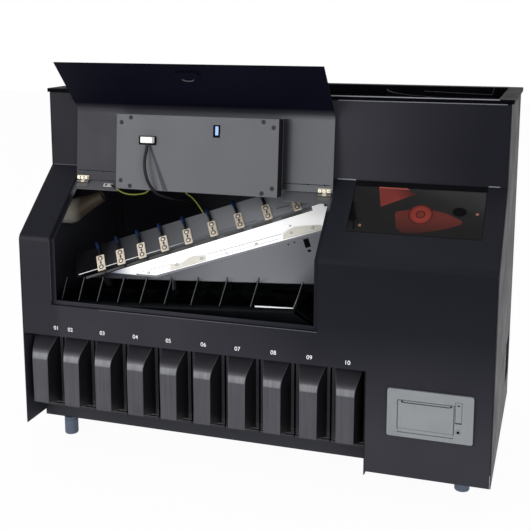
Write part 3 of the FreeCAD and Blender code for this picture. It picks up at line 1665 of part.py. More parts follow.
def make_control_board():
    """The control board on posts on the shelf, behind the sorter plate."""
    shelf = d.band_bottom + d.deck + d.seam
    low = shelf + d.board_lift
    right = d.board_left + d.board_length
    rear = d.board_front + d.board_depth
    pieces = [block("board_sheet", (d.board_left, right), (d.board_front, rear), (low, low + d.board_skin))]
    inset = 2 * d.post_radius
    for x in (d.board_left + inset, right - inset):
        for y in (d.board_front + inset, rear - inset):
            pieces.append(rod("board_post", "z", (x, y), shelf, d.board_lift + d.board_skin, d.post_radius))
    top = low + d.board_skin / 2
    y = rear - 2 * d.plug_width
    for i in range(int(d.board_sockets.value)):
        x = d.board_left + d.board_socket_left + d.board_socket_pitch * i
        pieces.append(block(
            "board_socket", (x, x + d.plug_width), (y, y + d.plug_height), (top, top + d.plug_width)
        ))
    node(fuse("control_board", pieces))


# Routes of the loose leads, in case coordinates
DOOR_CABLE = [
    (180, 66, 427.7), (179.6, 65.2, 421), (178.5, 62, 412), (178, 58, 400), (180, 56, 386), (185, 56, 370),
    (194, 61, 354.5), (205, 76, 347.5), (212, 92, 342), (214, 106, 338),
]
CASE_CABLE = [
    (214.1, 106.5, 337.8), (216, 120, 336), (216, 160, 322), (212, 210, 290), (206, 245, 240),
    (200, 265, 200), (200, 272, 178),
]
EARTH_FROM_LUG = [
    (122.5, 77.2, 355.4), (128, 74.8, 353.1), (138, 73.5, 349.5), (150, 73.5, 348.5), (162, 76, 349.5),
    (171, 79.3, 351.5), (174, 80, 355.8),
]
EARTH_FROM_PLATE = [
    (231, 84, 355.6), (232, 86, 352), (235, 99, 345.5), (241, 110.5, 331.5), (246, 118.3, 317.1),
]


def solenoid_leads():
    """One lead from each bracket, over the top of the plate and down to its coil."""
    front = d.bridge_lift + d.sorter_skin + d.seam + d.lead_radius
    behind = -d.sorter_skin - d.coil_radius
    over = d.bridge_high + 2 * d.sorter_skin + d.lead_radius
    leads = []
    for run in SOLENOID_RUNS:
        route = [
            (run, d.bracket_mid + d.bracket_length / 2 + d.seam, front), (run, over, front),
            (run, over, behind), (run, d.kicker_rise + d.coil_radius + d.seam, behind),
        ]
        leads.append(wire_run("solenoid_lead", route, d.lead_radius))
    bundle = group("solenoid_leads", leads)
    bundle.Placement = TRACK
    return bundle


def make_wiring():
    """The leads that hang across the hinge and bend with the door, and those that stay in the case."""
    across = [wire_run("door_cable", DOOR_CABLE, d.cable_radius)]
    for route in (EARTH_FROM_LUG, EARTH_FROM_PLATE):
        across.append(wire_run("earth_lead", route, d.wire_radius))
    node(group("door_leads", across))
    inner = wire_run("case_cable", CASE_CABLE, d.cable_radius)
    face = d.rebate - d.seam
    low = d.hinge_reach - d.top_ledge + d.skin
    tag = prism(
        "earth_tag", "YZ", [sloped(low, low + d.lug_height, face - d.skin, face)], d.lug_left, d.lug_width
    )
    node(group("case_wiring", [solenoid_leads(), inner, tag]))


# Build, check and write


def build():
    make_base_pan()
    make_feet()
    make_front_cowl()
    make_side_panel("left_side_panel", length(0), "left")
    make_side_panel("right_side_panel", d.width - d.skin, "right")
    make_rear_cover()
    make_inner_frame()
    make_drawer_guides()
    for number in range(1, int(d.drawer_count.value) + 1):
        make_drawer(number)
    make_coin_chutes()
    make_sorter_plate()
    make_coin_rail()
    make_rail_covers()
    make_solenoid_plate()
    make_solenoids()
    make_disc()
    make_window_pane()
    make_top_tray()
    make_dust_duct()
    make_service_door()
    make_electronics_box()
    make_display_screen()
    make_box_screws()
    make_hinge_leaves(True)
    make_hinge_leaves(False)
    make_case_screws()
    make_printer_bezel()
    make_printer_cover()
    make_printer_lever()
    make_printer_key()
    make_printer_body()
    make_paper_roll()
    make_power_inlet()
    make_power_switch()
    make_power_supply()
    make_usb_plug()
    make_control_board()
    make_wiring()


def check():
    doc.recompute()
    for thing in doc.Objects:
        if "Invalid" in thing.State or "Error" in thing.State:
            raise RuntimeError("%s did not compute: %s" % (thing.Label, thing.State))
    for thing in NODES:
        if thing.Shape.isNull() or not thing.Shape.isValid():
            raise RuntimeError("%s has no sound shape" % thing.Label)


def write():
    os.makedirs("parts", exist_ok=True)
    for thing in NODES:
        thing.Shape.exportStep("parts/%s.step" % thing.Label)
        box = thing.Shape.BoundBox
        print("%-18s %2d solids  x %6.1f %6.1f  y %6.1f %6.1f  z %6.1f %6.1f" % (
            thing.Label, len(thing.Shape.Solids), box.XMin, box.XMax, box.YMin, box.YMax, box.ZMin, box.ZMax,
        ))


build()
check()
write()
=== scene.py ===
import json
import math

import bmesh
import bpy
from mathutils import Matrix, Vector


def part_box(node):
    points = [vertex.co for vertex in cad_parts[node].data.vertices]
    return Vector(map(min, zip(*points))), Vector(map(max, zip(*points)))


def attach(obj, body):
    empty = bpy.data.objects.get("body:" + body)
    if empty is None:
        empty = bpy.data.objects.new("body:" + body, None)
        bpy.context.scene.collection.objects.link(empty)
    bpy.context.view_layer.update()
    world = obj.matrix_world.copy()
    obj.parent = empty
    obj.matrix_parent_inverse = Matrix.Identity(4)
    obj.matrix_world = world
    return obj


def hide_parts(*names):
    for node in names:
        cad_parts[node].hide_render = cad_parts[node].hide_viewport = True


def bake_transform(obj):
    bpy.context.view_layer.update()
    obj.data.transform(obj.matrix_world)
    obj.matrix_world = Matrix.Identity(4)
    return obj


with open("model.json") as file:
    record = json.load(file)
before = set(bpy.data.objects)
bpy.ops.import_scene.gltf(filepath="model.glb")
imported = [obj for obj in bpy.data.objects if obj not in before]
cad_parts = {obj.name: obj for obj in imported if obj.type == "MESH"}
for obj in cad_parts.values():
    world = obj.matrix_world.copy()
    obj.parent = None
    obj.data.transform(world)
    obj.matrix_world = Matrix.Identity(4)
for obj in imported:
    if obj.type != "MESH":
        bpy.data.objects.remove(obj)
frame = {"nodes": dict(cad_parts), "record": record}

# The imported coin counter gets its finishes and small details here. Places are written in the
# case's own millimetres: x from the left side, y back from the front face, z up from the
# bottom edge of the case.

MM = 0.001
FRONT_TOP = 291
SLOPE_TOP = 383
SLOPE_BACK = 104
SORTER_DEPTH = 68
DRAWERS = ["drawer_%02d" % (i + 1) for i in range(10)]
TRACK_X = 129
TRACK_RISE = -8
TRACK_TILT = 26
SHEET_LEAN = 0.0965
SOLENOID_RUNS = [-10.4, 20.1, 52.71, 87.41, 124.22, 163.12, 204.12, 247.23, 292.43]
# Heights on the coin track, over the face of the sorter plate
DOWEL_FACE = 3.3
RAIL_FACE = 6.3
BRIDGE_FACE = 8
COVER_FACE = 8.25
BRACKET_FACE = 9.6
# Fronts of the printer's face and of its button
PRINTER_FRONT = -3.6
BUTTON_FRONT = -4.8
FIN_PLACES = [33, 55.7, 83.7, 114.3, 147.5, 183.3, 221.7, 262.7, 306.3, 352.5]

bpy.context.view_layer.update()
shell_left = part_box("left_side_panel")[0][0]
shell_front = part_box("front_cowl")[0][1]
shell_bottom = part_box("front_cowl")[0][2]
record = frame["record"]
BODY_OF = {}
for body_name, members in record["behaviour"]["bodies"].items():
    for member in members:
        BODY_OF[member] = body_name

slope_length = math.hypot(SLOPE_BACK, SLOPE_TOP - FRONT_TOP)
lean = SLOPE_BACK / slope_length
climb = (SLOPE_TOP - FRONT_TOP) / slope_length


# Places


def case(x, y, z):
    """A point of the case, given in its own millimetres."""
    return Vector((shell_left + x * MM, shell_front + y * MM, shell_bottom + z * MM))


def slope_matrix(depth):
    """Matrix of a plane under the slope: x along it, y up it and z out of it, in metres."""
    origin = case(0, depth * climb, FRONT_TOP - depth * lean)
    along = Vector((1, 0, 0))
    up = Vector((0, lean, climb))
    out = Vector((0, -climb, lean))
    turn = Matrix((along, up, out)).transposed().to_4x4()
    return Matrix.Translation(origin) @ turn


def track_matrix():
    """Matrix of the coin track: x up the track, y across it and z out of the sorter plate."""
    spot = Matrix.Translation(Vector((TRACK_X * MM, TRACK_RISE * MM, 0)))
    return slope_matrix(SORTER_DEPTH) @ spot @ Matrix.Rotation(math.radians(TRACK_TILT), 4, "Z")


def plane_matrix(origin, up, out):
    """Matrix of a plane: x along the case, y along its up way and z out of it."""
    turn = Matrix((Vector((1, 0, 0)), Vector(up), Vector(out))).transposed().to_4x4()
    return Matrix.Translation(origin) @ turn


def raised(matrix, rise):
    """The same plane, that many millimetres further out."""
    return matrix @ Matrix.Translation((0, 0, rise * MM))


def on_plane(matrix, places):
    """Points given in a plane's own millimetres."""
    return [matrix @ (Vector(place) * MM) for place in places]


TRACK = track_matrix()
SHEET_UP = (0, SHEET_LEAN, math.sqrt(1 - SHEET_LEAN ** 2))
SHEET_OUT = (0, -math.sqrt(1 - SHEET_LEAN ** 2), SHEET_LEAN)
SHEET = plane_matrix(case(0, 86.7, 365.4), SHEET_UP, SHEET_OUT)
BOX_FACE = plane_matrix(case(0, 63.9, 358.5), SHEET_UP, SHEET_OUT)
LIP = plane_matrix(case(0, 93.1, 476.5), (0, -0.6823, 0.7311), (0, -0.7311, -0.6823))
WINDOW = slope_matrix(0)


# Materials


class Finish:
    """A procedural material on the Principled shader."""

    def __init__(self, name, color, roughness, metallic=0.0, **sockets):
        self.material = bpy.data.materials.new(name)
        self.material.use_nodes = True
        self.tree = self.material.node_tree
        self.shader = self.tree.nodes["Principled BSDF"]
        self.color = color
        self.shader.inputs["Base Color"].default_value = (*color, 1.0)
        self.shader.inputs["Roughness"].default_value = roughness
        self.shader.inputs["Metallic"].default_value = metallic
        for socket, value in sockets.items():
            self.shader.inputs[socket.replace("_", " ")].default_value = value
        self.place = self.add("ShaderNodeTexCoord")
        self.last_color = None

    def add(self, kind, **values):
        made = self.tree.nodes.new(kind)
        for name, value in values.items():
            setattr(made, name, value)
        return made

    def noise(self, scale, detail=3.0, stretch=(1, 1, 1)):
        mapping = self.add("ShaderNodeMapping")
        mapping.inputs["Scale"].default_value = stretch
        self.tree.links.new(self.place.outputs["Object"], mapping.inputs["Vector"])
        texture = self.add("ShaderNodeTexNoise")
        texture.inputs["Scale"].default_value = scale
        texture.inputs["Detail"].default_value = detail
        self.tree.links.new(mapping.outputs["Vector"], texture.inputs["Vector"])
        return texture.outputs["Fac"]

    def ranged(self, value, low, high, start, end):
        steps = self.add("ShaderNodeMapRange")
        steps.inputs["From Min"].default_value = start
        steps.inputs["From Max"].default_value = end
        steps.inputs["To Min"].default_value = low
        steps.inputs["To Max"].default_value = high
        self.tree.links.new(value, steps.inputs["Value"])
        return steps.outputs["Result"]

    def scaled(self, value, low, high):
        """Turns a value's 0 to 1 into low to high."""
        return self.ranged(value, low, high, 0.0, 1.0)

    def sum(self, first, second, operation="ADD"):
        made = self.add("ShaderNodeMath", operation=operation)
        self.tree.links.new(first, made.inputs[0])
        self.tree.links.new(second, made.inputs[1])
        return made.outputs[0]

    def product(self, first, second):
        return self.sum(first, second, "MULTIPLY")

    def between(self, start, end):
        """Grows from 0 at one place to 1 at another, both in the row frame at rest."""
        way = end - start
        made = self.add("ShaderNodeVectorMath", operation="DOT_PRODUCT")
        self.tree.links.new(self.place.outputs["Object"], made.inputs[0])
        made.inputs[1].default_value = way / way.length_squared
        shift = start.dot(way) / way.length_squared
        return self.ranged(made.outputs["Value"], 0.0, 1.0, shift, shift + 1)

    def across(self, start, end):
        """Grows from 0 to 1 between two widths of the case, in its millimetres."""
        return self.between(case(start, 0, 0), case(end, 0, 0))

    def upward(self, start, end):
        """Grows from 0 to 1 between two heights of the case, in its millimetres."""
        return self.between(case(0, 0, start), case(0, 0, end))

    def facing(self, way, start, end):
        """Grows from 0 to 1 as the face turns towards a direction."""
        made = self.add("ShaderNodeVectorMath", operation="DOT_PRODUCT")
        self.tree.links.new(self.place.outputs["Normal"], made.inputs[0])
        made.inputs[1].default_value = way
        return self.ranged(made.outputs["Value"], 0.0, 1.0, start, end)

    def tint(self, other, value, start=0.35, end=0.65):
        """Blends the colour so far towards another one by a value."""
        mix = self.add("ShaderNodeMix", data_type="RGBA")
        self.tree.links.new(self.ranged(value, 0.0, 1.0, start, end), mix.inputs["Factor"])
        if self.last_color:
            self.tree.links.new(self.last_color, mix.inputs["A"])
        else:
            mix.inputs["A"].default_value = (*self.color, 1.0)
        mix.inputs["B"].default_value = (*other, 1.0)
        self.last_color = mix.outputs["Result"]
        self.tree.links.new(self.last_color, self.shader.inputs["Base Color"])
        return self

    def fade(self, other, value):
        """Blends the colour towards another one as a value goes from 0 to 1."""
        return self.tint(other, value, 0.0, 1.0)

    def drive(self, socket, value, low, high, start=0.0, end=1.0):
        """Lets one of the shader's values follow a texture or a place."""
        self.tree.links.new(self.ranged(value, low, high, start, end), self.shader.inputs[socket])
        return self

    def worn(self, value, roughness, less, more):
        """Lets the roughness change a little around its own value."""
        return self.drive("Roughness", value, max(roughness - less, 0.0), roughness + more, 0.3, 0.7)

    def glow(self, strength):
        """A little light of its own, for pieces that the photo shows blown out."""
        self.tree.links.new(self.last_color, self.shader.inputs["Emission Color"])
        self.shader.inputs["Emission Strength"].default_value = strength
        return self

    def bump(self, value, strength, distance):
        made = self.add("ShaderNodeBump")
        made.inputs["Strength"].default_value = strength
        made.inputs["Distance"].default_value = distance
        self.tree.links.new(value, made.inputs["Height"])
        self.tree.links.new(made.outputs["Normal"], self.shader.inputs["Normal"])
        return self


def powder_coat(name, color, other, roughness, specular=0.12):
    """Fine textured paint with soft cloudy changes of colour and gloss."""
    finish = Finish(name, color, roughness, Specular_IOR_Level=specular)
    finish.tint(other, finish.noise(7.0, 4.0))
    finish.worn(finish.noise(22.0, 5.0), roughness, 0.05, 0.07)
    finish.bump(finish.noise(1500.0, 2.0), 0.22, 0.0002)
    return finish


def moulded(name, color, other, roughness, specular=0.2):
    """Moulded plastic with a faint spark-eroded grain."""
    finish = Finish(name, color, roughness, Specular_IOR_Level=specular)
    finish.tint(other, finish.noise(30.0, 4.0))
    finish.worn(finish.noise(60.0, 4.0), roughness, 0.06, 0.08)
    finish.bump(finish.noise(2200.0, 2.0), 0.18, 0.00015)
    return finish


def metal(name, color, other, roughness, metallic=1.0, stretch=(1, 1, 1), scale=120.0):
    """Bare or plated metal, brushed along the axis whose stretch is smallest."""
    finish = Finish(name, color, roughness, metallic)
    finish.tint(other, finish.noise(scale / 4, 4.0, stretch))
    finish.worn(finish.noise(scale, 6.0, stretch), roughness, 0.06, 0.1)
    finish.bump(finish.noise(scale * 4, 4.0, stretch), 0.12, 0.0001)
    return finish


def clear(name, color, other, roughness, transmission, ior=1.47, specular=0.3):
    """See-through plastic with a little haze in it."""
    finish = Finish(
        name, color, roughness, Transmission_Weight=transmission, IOR=ior, Specular_IOR_Level=specular
    )
    finish.tint(other, finish.noise(18.0, 4.0))
    finish.worn(finish.noise(40.0, 4.0), roughness, 0.03, 0.05)
    return finish


def cowl_paint():
    """The case's charcoal paint.

    Painted light and shade: it is paler low on the front and beside the door, and darker on the slope,
    on faces that look up and at both ends. It is grey on the ledge under the door's hinges, like the
    door's inside.
    """
    finish = powder_coat("cowl_paint", (0.022, 0.022, 0.028), (0.026, 0.026, 0.032), 0.46, 0.10)
    # Painted light and shade: under the slope's top edge the front darkens upwards, more so between x 250
    # and 450; above it the face is palest beside the door and darker towards the right end and far left.
    rise = finish.upward(60, 420)
    beside_door = finish.scaled(finish.across(445, 660), -0.90, 0.0)
    left_strip = finish.scaled(finish.across(66, 56), 0.0, 0.5)
    above = finish.upward(380, 386)
    below = finish.scaled(above, 1.0, 0.0)
    column = finish.product(finish.scaled(finish.upward(60, 200), 0.0, 0.75), finish.across(250, 450))
    low = finish.sum(column, finish.scaled(rise, 0.0, 0.4))
    high = finish.sum(finish.sum(rise, beside_door), left_strip)
    shade = finish.sum(finish.product(high, above), finish.product(low, below))
    finish.fade((0.0035, 0.0038, 0.0075), shade)
    # Painted shade on faces that look up, such as the slope and the top.
    finish.fade((0.0065, 0.0070, 0.0110), finish.facing((0, 0, 1), 0.3, 0.6))
    # Painted shade at the right end, 230 to 330 mm up.
    finish.fade((0.0020, 0.0022, 0.0050), finish.product(finish.across(520, 760), finish.upward(230, 330)))
    # Painted shade on the strip at the far left.
    finish.tint((0.0030, 0.0030, 0.0060), finish.across(66, 56), 0.0, 2.6)
    under_slope = finish.between(WINDOW @ Vector((0, 0, -0.003)), WINDOW @ Vector((0, 0, -0.005)))
    by_the_hinges = finish.product(finish.upward(342, 348), finish.across(470, 460))
    finish.fade((0.070, 0.071, 0.078), finish.product(under_slope, by_the_hinges))
    return finish


def side_paint():
    """The right side panel: painted shade darkens its top, and it is a little shinier towards the floor."""
    finish = powder_coat("side_paint", (0.028, 0.028, 0.032), (0.036, 0.036, 0.040), 0.40, 0.1)
    # Painted shade at the top.
    finish.fade((0.010, 0.011, 0.015), finish.upward(400, 500))
    finish.drive("Specular IOR Level", finish.upward(500, 60), 0.01, 0.03)
    return finish


def door_paint():
    """The door: grey inside with painted shade on its nearly black lip, and the case's charcoal outside."""
    finish = powder_coat("door_paint", (0.021, 0.021, 0.026), (0.026, 0.026, 0.031), 0.44, 0.14)
    finish.fade((0.085, 0.087, 0.094), finish.across(80, 440))
    # Painted shade on the lip, nearly black at its top.
    finish.fade((0.030, 0.030, 0.036), finish.upward(466, 474))
    finish.fade((0.0024, 0.0024, 0.0065), finish.upward(472, 482))
    finish.fade((0.024, 0.024, 0.030), finish.facing((0, 1, 0), 0.0, 0.2))
    finish.drive("Specular IOR Level", finish.upward(470, 482), 0.14, 0.03)
    return finish


def box_coat():
    """The grey electronics box, with painted shade on its right side."""
    finish = powder_coat("box_paint", (0.085, 0.086, 0.093), (0.092, 0.093, 0.100), 0.45, 0.15)
    # Painted shade on the right side.
    finish.fade((0.008, 0.008, 0.010), finish.facing((1, 0, 0), 0.6, 0.95))
    return finish


def plate_coat(name, near, far, start, end, specular=0.10):
    """Satin plate paint with painted shade and light: nearly black at the left and pale at the right."""
    finish = powder_coat(name, near, tuple(1.15 * part for part in near), 0.42, specular)
    finish.fade(far, finish.across(start, end))
    return finish


def sorter_coat():
    """The sorter plate: pale over most of its width, dark low at its right end, all painted light and shade.
    """
    finish = plate_coat("plate_paint", (0.0035, 0.0035, 0.0050), (0.160, 0.165, 0.180), 120, 300)
    # Painted shade low at the right end.
    finish.fade((0.006, 0.006, 0.009), finish.between(case(405, 0, 245), case(435, 0, 215)))
    return finish


def rail_coat():
    """The polished rail, blown out to white as in the photo, with its low end fading to dark blue."""
    # Painted light: the polished steel is coloured white, for its blown-out reflection.
    finish = metal("rail_steel", (0.95, 0.95, 0.94), (0.90, 0.90, 0.90), 0.35, 0.15, (1, 14, 14), 160.0)
    dark = TRACK @ Vector((0.003, 0, 0))
    pale = TRACK @ Vector((0.042, 0, 0))
    # Painted shade on the lower side wall.
    finish.fade((0.20, 0.205, 0.22), finish.facing((0.404, -0.685, -0.606), 0.6, 0.95))
    # Painted dark-blue reflection at the low end.
    finish.fade((0.02, 0.035, 0.07), finish.between(pale, dark))
    # Painted light: a glow of its own.
    finish.glow(0.32)
    return finish


def duct_coat():
    """Milky plastic that grows dark brownish grey towards the narrow end."""
    finish = clear("duct_plastic", (0.54, 0.52, 0.47), (0.46, 0.43, 0.37), 0.35, 0.25, 1.45, 0.1)
    finish.fade((0.060, 0.048, 0.034), finish.across(18, 42))
    return finish


def drawer_coat():
    """Brushed-looking black moulding of the drawers, streaked from top to bottom.

    Painted shade darkens the pulls' top slopes, the recesses beside them and the right sides, and a
    streaked painted highlight runs along the bend at the top of each pull's front.
    """
    finish = moulded("drawer_plastic", (0.040, 0.040, 0.047), (0.046, 0.046, 0.054), 0.38, 0.25)
    finish.tint((0.058, 0.058, 0.066), finish.noise(260.0, 3.0, (1, 1, 0.03)), 0.42, 0.75)
    # Painted shade on the pulls' top slopes.
    finish.fade((0.014, 0.014, 0.018), finish.facing((0, -0.694, 0.721), 0.92, 0.99))
    # Painted shade on the body's front, deep in the recesses beside the pull.
    finish.fade((0.013, 0.013, 0.017), finish.between(case(0, 18, 0), case(0, 24, 0)))
    # A streaked painted highlight along the bend at the top of the pull's front.
    bend = finish.facing((0, -0.970, 0.243), 0.972, 0.992)
    streaks = finish.ranged(finish.noise(300.0, 3.0, (1, 0.03, 0.03)), 0.6, 1.0, 0.35, 0.65)
    finish.fade((0.155, 0.155, 0.163), finish.product(bend, streaks))
    # Painted shade on the right sides.
    finish.fade((0.005, 0.005, 0.006), finish.facing((1, 0, 0), 0.5, 0.9))
    return finish


def bright_edge():
    """A painted highlight on the bridge plate's lower edge, which fades up the track."""
    finish = powder_coat("bright_edge", (0.75, 0.75, 0.76), (0.66, 0.66, 0.68), 0.40)
    lit, dim = TRACK @ Vector((0.05, 0, 0)), TRACK @ Vector((0.14, 0, 0))
    finish.fade((0.085, 0.087, 0.095), finish.between(lit, dim))
    return finish


def box_shadow():
    """The dark band that the electronics box casts on the door beside it."""
    finish = powder_coat("box_shadow", (0.010, 0.010, 0.013), (0.013, 0.013, 0.016), 0.44)
    finish.fade((0.076, 0.078, 0.085), finish.across(383, 393))
    return finish


# Plain mouldings: colour, the colour of their clouds, roughness and any specular level
MOULDINGS = {
    "foot_rubber": ((0.075, 0.095, 0.13), (0.09, 0.11, 0.15), 0.55),
    "guide_plastic": ((0.008, 0.008, 0.009), (0.011, 0.011, 0.012), 0.55, 0.05),
    "chute_plastic": ((0.0016, 0.0020, 0.0026), (0.0024, 0.0028, 0.0034), 0.36, 0.03),
    "coil_wrap": ((0.006, 0.006, 0.007), (0.009, 0.008, 0.008), 0.45),
    "disc_plastic": ((0.055, 0.055, 0.06), (0.07, 0.07, 0.075), 0.42),
    "tray_plastic": ((0.0012, 0.0012, 0.0020), (0.0020, 0.0020, 0.0030), 0.45, 0.01),
    "screen_glass": ((0.006, 0.007, 0.009), (0.008, 0.009, 0.011), 0.10, 0.5),
    "plug_plastic": ((0.72, 0.72, 0.70), (0.64, 0.64, 0.62), 0.35),
    "lead_rubber": ((0.004, 0.004, 0.005), (0.006, 0.006, 0.007), 0.34, 0.14),
    "printer_plastic": ((0.176, 0.186, 0.193), (0.194, 0.204, 0.211), 0.50),
    "printer_inside": ((0.02, 0.02, 0.022), (0.028, 0.028, 0.03), 0.5),
    "paper": ((0.80, 0.80, 0.78), (0.74, 0.74, 0.72), 0.75),
    "inlet_plastic": ((0.012, 0.012, 0.013), (0.018, 0.018, 0.019), 0.33),
    "board_green": ((0.004, 0.020, 0.008), (0.005, 0.026, 0.010), 0.35),
}
# Bare metals: colour, the colour of their clouds, roughness, any metallic share and brushing
METALS = {
    "shelf_steel": ((0.42, 0.42, 0.43), (0.5, 0.5, 0.5), 0.38, 1.0, (1, 12, 1)),
    "bracket_zinc": ((0.74, 0.66, 0.55), (0.60, 0.52, 0.42), 0.38, 0.35),
    # Plunger steel is dark grey as painted shade, for plungers in the shade under the bridge plate.
    "plunger_steel": ((0.105, 0.105, 0.102), (0.080, 0.080, 0.078), 0.35, 0.3, (1, 1, 9)),
    "disc_metal": ((0.55, 0.55, 0.56), (0.45, 0.45, 0.46), 0.30),
    "screw_steel": ((0.20, 0.20, 0.21), (0.15, 0.15, 0.16), 0.40),
    "hinge_metal": ((0.84, 0.79, 0.68), (0.70, 0.64, 0.52), 0.35, 0.35),
    "supply_metal": ((0.16, 0.16, 0.16), (0.13, 0.13, 0.13), 0.36, 1.0, (12, 1, 1)),
}
FINISHES = {
    "case_paint": powder_coat("charcoal_paint", (0.020, 0.0205, 0.026), (0.024, 0.0245, 0.030), 0.46),
    "box_paint": box_coat(),
    "drawer_plastic": drawer_coat(),
    "plate_paint": sorter_coat(),
    "rail_steel": rail_coat(),
    "strip_plastic": clear("strip_plastic", (0.80, 0.77, 0.70), (0.72, 0.69, 0.62), 0.30, 0.10),
    "motor_metal": powder_coat("motor_paint", (0.04, 0.04, 0.045), (0.05, 0.05, 0.055), 0.45),
    "window_red": clear(
        "window_red", (0.0030, 0.0022, 0.0020), (0.004, 0.003, 0.003), 0.10, 0.3, 1.49, 0.005
    ),
    "duct_plastic": duct_coat(),
}
FINISHES.update({slot: moulded(slot, *values) for slot, values in MOULDINGS.items()})
FINISHES.update({slot: metal(slot, *values) for slot, values in METALS.items()})
RUBBER = FINISHES["lead_rubber"]
COWL_PAINT = cowl_paint()
SIDE_PAINT = side_paint()
DOOR_PAINT = door_paint()
# Painted shade and light on the bridge plate: nearly black at the left and pale at the right.
BRIDGE_PAINT = plate_coat("bridge_paint", (0.0018, 0.0018, 0.0030), (0.175, 0.180, 0.195), 110, 330, 0.05)
# Painted shade: the inner frame, bare steel by its slot, is made nearly black inside the case.
INNER_FRAME_SHADE = powder_coat("inner_frame_painted_shade", (0.005, 0.005, 0.006), (0.007, 0.007, 0.008), 0.50, 0.05)
HINGE_DARK = metal("hinge_dark", (0.095, 0.093, 0.088), (0.080, 0.078, 0.074), 0.40, 0.3)
HINGE_LEAF = metal("hinge_leaf", (0.45, 0.40, 0.30), (0.38, 0.33, 0.25), 0.35, 0.35)
LUG_GREY = moulded("lug_grey", (0.42, 0.42, 0.40), (0.36, 0.36, 0.34), 0.40)
PRINT_LINE = moulded("print_line", (0.080, 0.083, 0.088), (0.068, 0.070, 0.075), 0.50, 0.1)
BRIGHT_EDGE = bright_edge()
BOX_SHADOW = box_shadow()
BLUE_SLEEVE = moulded("blue_sleeve", (0.003, 0.009, 0.036), (0.004, 0.012, 0.048), 0.40)
EARTH_GREEN = moulded("earth_green", (0.14, 0.15, 0.024), (0.11, 0.13, 0.020), 0.42)
LABEL_WHITE = moulded("label_white", (0.80, 0.80, 0.80), (0.74, 0.74, 0.74), 0.55)
PORT_BLUE = moulded("port_blue", (0.20, 0.36, 0.80), (0.30, 0.46, 0.86), 0.35)
EDGE_LIGHT = powder_coat("edge_light", (0.190, 0.192, 0.205), (0.160, 0.162, 0.175), 0.40)
EDGE_GREY = powder_coat("edge_grey", (0.090, 0.092, 0.100), (0.075, 0.077, 0.085), 0.40)
EDGE_DIM = powder_coat("edge_dim", (0.042, 0.042, 0.050), (0.036, 0.036, 0.044), 0.42)
SLOT_BLACK = moulded("slot_black", (0.0025, 0.0025, 0.0030), (0.004, 0.004, 0.005), 0.60, 0.02)
SCREW_SHADE = moulded("screw_shade", (0.045, 0.045, 0.050), (0.035, 0.035, 0.040), 0.5, 0.1)
SCREW_RIM = powder_coat("screw_rim", (0.60, 0.60, 0.60), (0.50, 0.50, 0.50), 0.4)
LIP_WHITE = powder_coat("lip_white", (0.70, 0.70, 0.72), (0.60, 0.60, 0.62), 0.4)
TRIM_ORANGE = metal("trim_orange", (0.20, 0.085, 0.050), (0.16, 0.07, 0.04), 0.35, 0.3)
HUB_RED = moulded("hub_red", (0.180, 0.027, 0.020), (0.150, 0.023, 0.017), 0.4, 0.05)
HUB_DARK = moulded("hub_dark", (0.040, 0.009, 0.008), (0.032, 0.008, 0.007), 0.4, 0.05)
WEDGE_LINE = moulded("wedge_line", (0.26, 0.062, 0.050), (0.22, 0.052, 0.042), 0.4, 0.05)


def seen_red(name, near, far, start, end):
    """A red piece seen through the dark window, fading from one colour to another."""
    finish = moulded(name, near, tuple(0.9 * part for part in near), 0.4, 0.05)
    finish.fade(far, finish.between(start, end))
    return finish


# Piece tools


def new_object(name, data):
    thing = bpy.data.objects.new(name, data)
    bpy.context.scene.collection.objects.link(thing)
    return thing


def add_piece(name, mesh, body, finish):
    thing = new_object(name, mesh)
    mesh.materials.clear()
    mesh.materials.append(finish.material)
    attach(thing, body)
    return thing


def smooth(thing, limit=50):
    """Smooth shading that keeps edges sharper than the limit and leaves flat faces flat."""
    mesh = thing.data
    shape = bmesh.new()
    shape.from_mesh(mesh)
    for face in shape.faces:
        face.smooth = True
    for edge in shape.edges:
        edge.smooth = len(edge.link_faces) == 2 and edge.calc_face_angle(0) < math.radians(limit)
    shape.to_mesh(mesh)
    shape.free()
    weighted = thing.modifiers.new("flat_faces", "WEIGHTED_NORMAL")
    weighted.keep_sharp = True


def round_bend(shape, depths, heights, corner, width):
    """Makes one wide bend of a pull's tight one, whose points lie between those places of the case."""
    low, high = case(0, depths[0], heights[0]), case(0, depths[1], heights[1])
    bend = [
        vert for vert in shape.verts if low.y < vert.co.y < high.y and low.z < vert.co.z < high.z
    ]
    left = min(vert.co.x for vert in bend)
    right = max(vert.co.x for vert in bend)
    spot = case(0, *corner)
    for vert in bend:
        vert.co = (left if 2 * vert.co.x < left + right else right, spot.y, spot.z)
    bmesh.ops.remove_doubles(shape, verts=bend, dist=2e-6)
    edges = [edge for edge in shape.edges if all((vert.co - spot).yz.length < 1e-6 for vert in edge.verts)]
    bmesh.ops.bevel(
        shape, geom=edges, offset=width * MM, segments=8, profile=0.5, affect="EDGES", clamp_overlap=True
    )


def softened(node, width, finish=None):
    """A copy of a CAD node with its edges rounded by that many millimetres, in its place."""
    slot_name = SLOT_OF[node]
    mesh = frame["nodes"][node].data.copy()
    shape = bmesh.new()
    shape.from_mesh(mesh)
    bmesh.ops.remove_doubles(shape, verts=shape.verts, dist=2e-6)
    bmesh.ops.dissolve_limit(
        shape, angle_limit=math.radians(0.4), verts=shape.verts, edges=shape.edges,
        use_dissolve_boundaries=False,
    )
    if node in DRAWERS:
        round_bend(shape, (-2.1, 0.0), (111.3, 115.9), (-2, 114.0), 10)
    sharp = [edge for edge in shape.edges if edge.is_manifold and edge.calc_face_angle(0) > math.radians(28)]
    bmesh.ops.bevel(
        shape, geom=sharp, offset=width * MM, segments=2, profile=0.5, affect="EDGES", clamp_overlap=True
    )
    shape.to_mesh(mesh)
    shape.free()
    thing = add_piece(node + "_shell", mesh, BODY_OF[node], finish or FINISHES[slot_name])
    smooth(thing)
    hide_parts(node)
    return thing


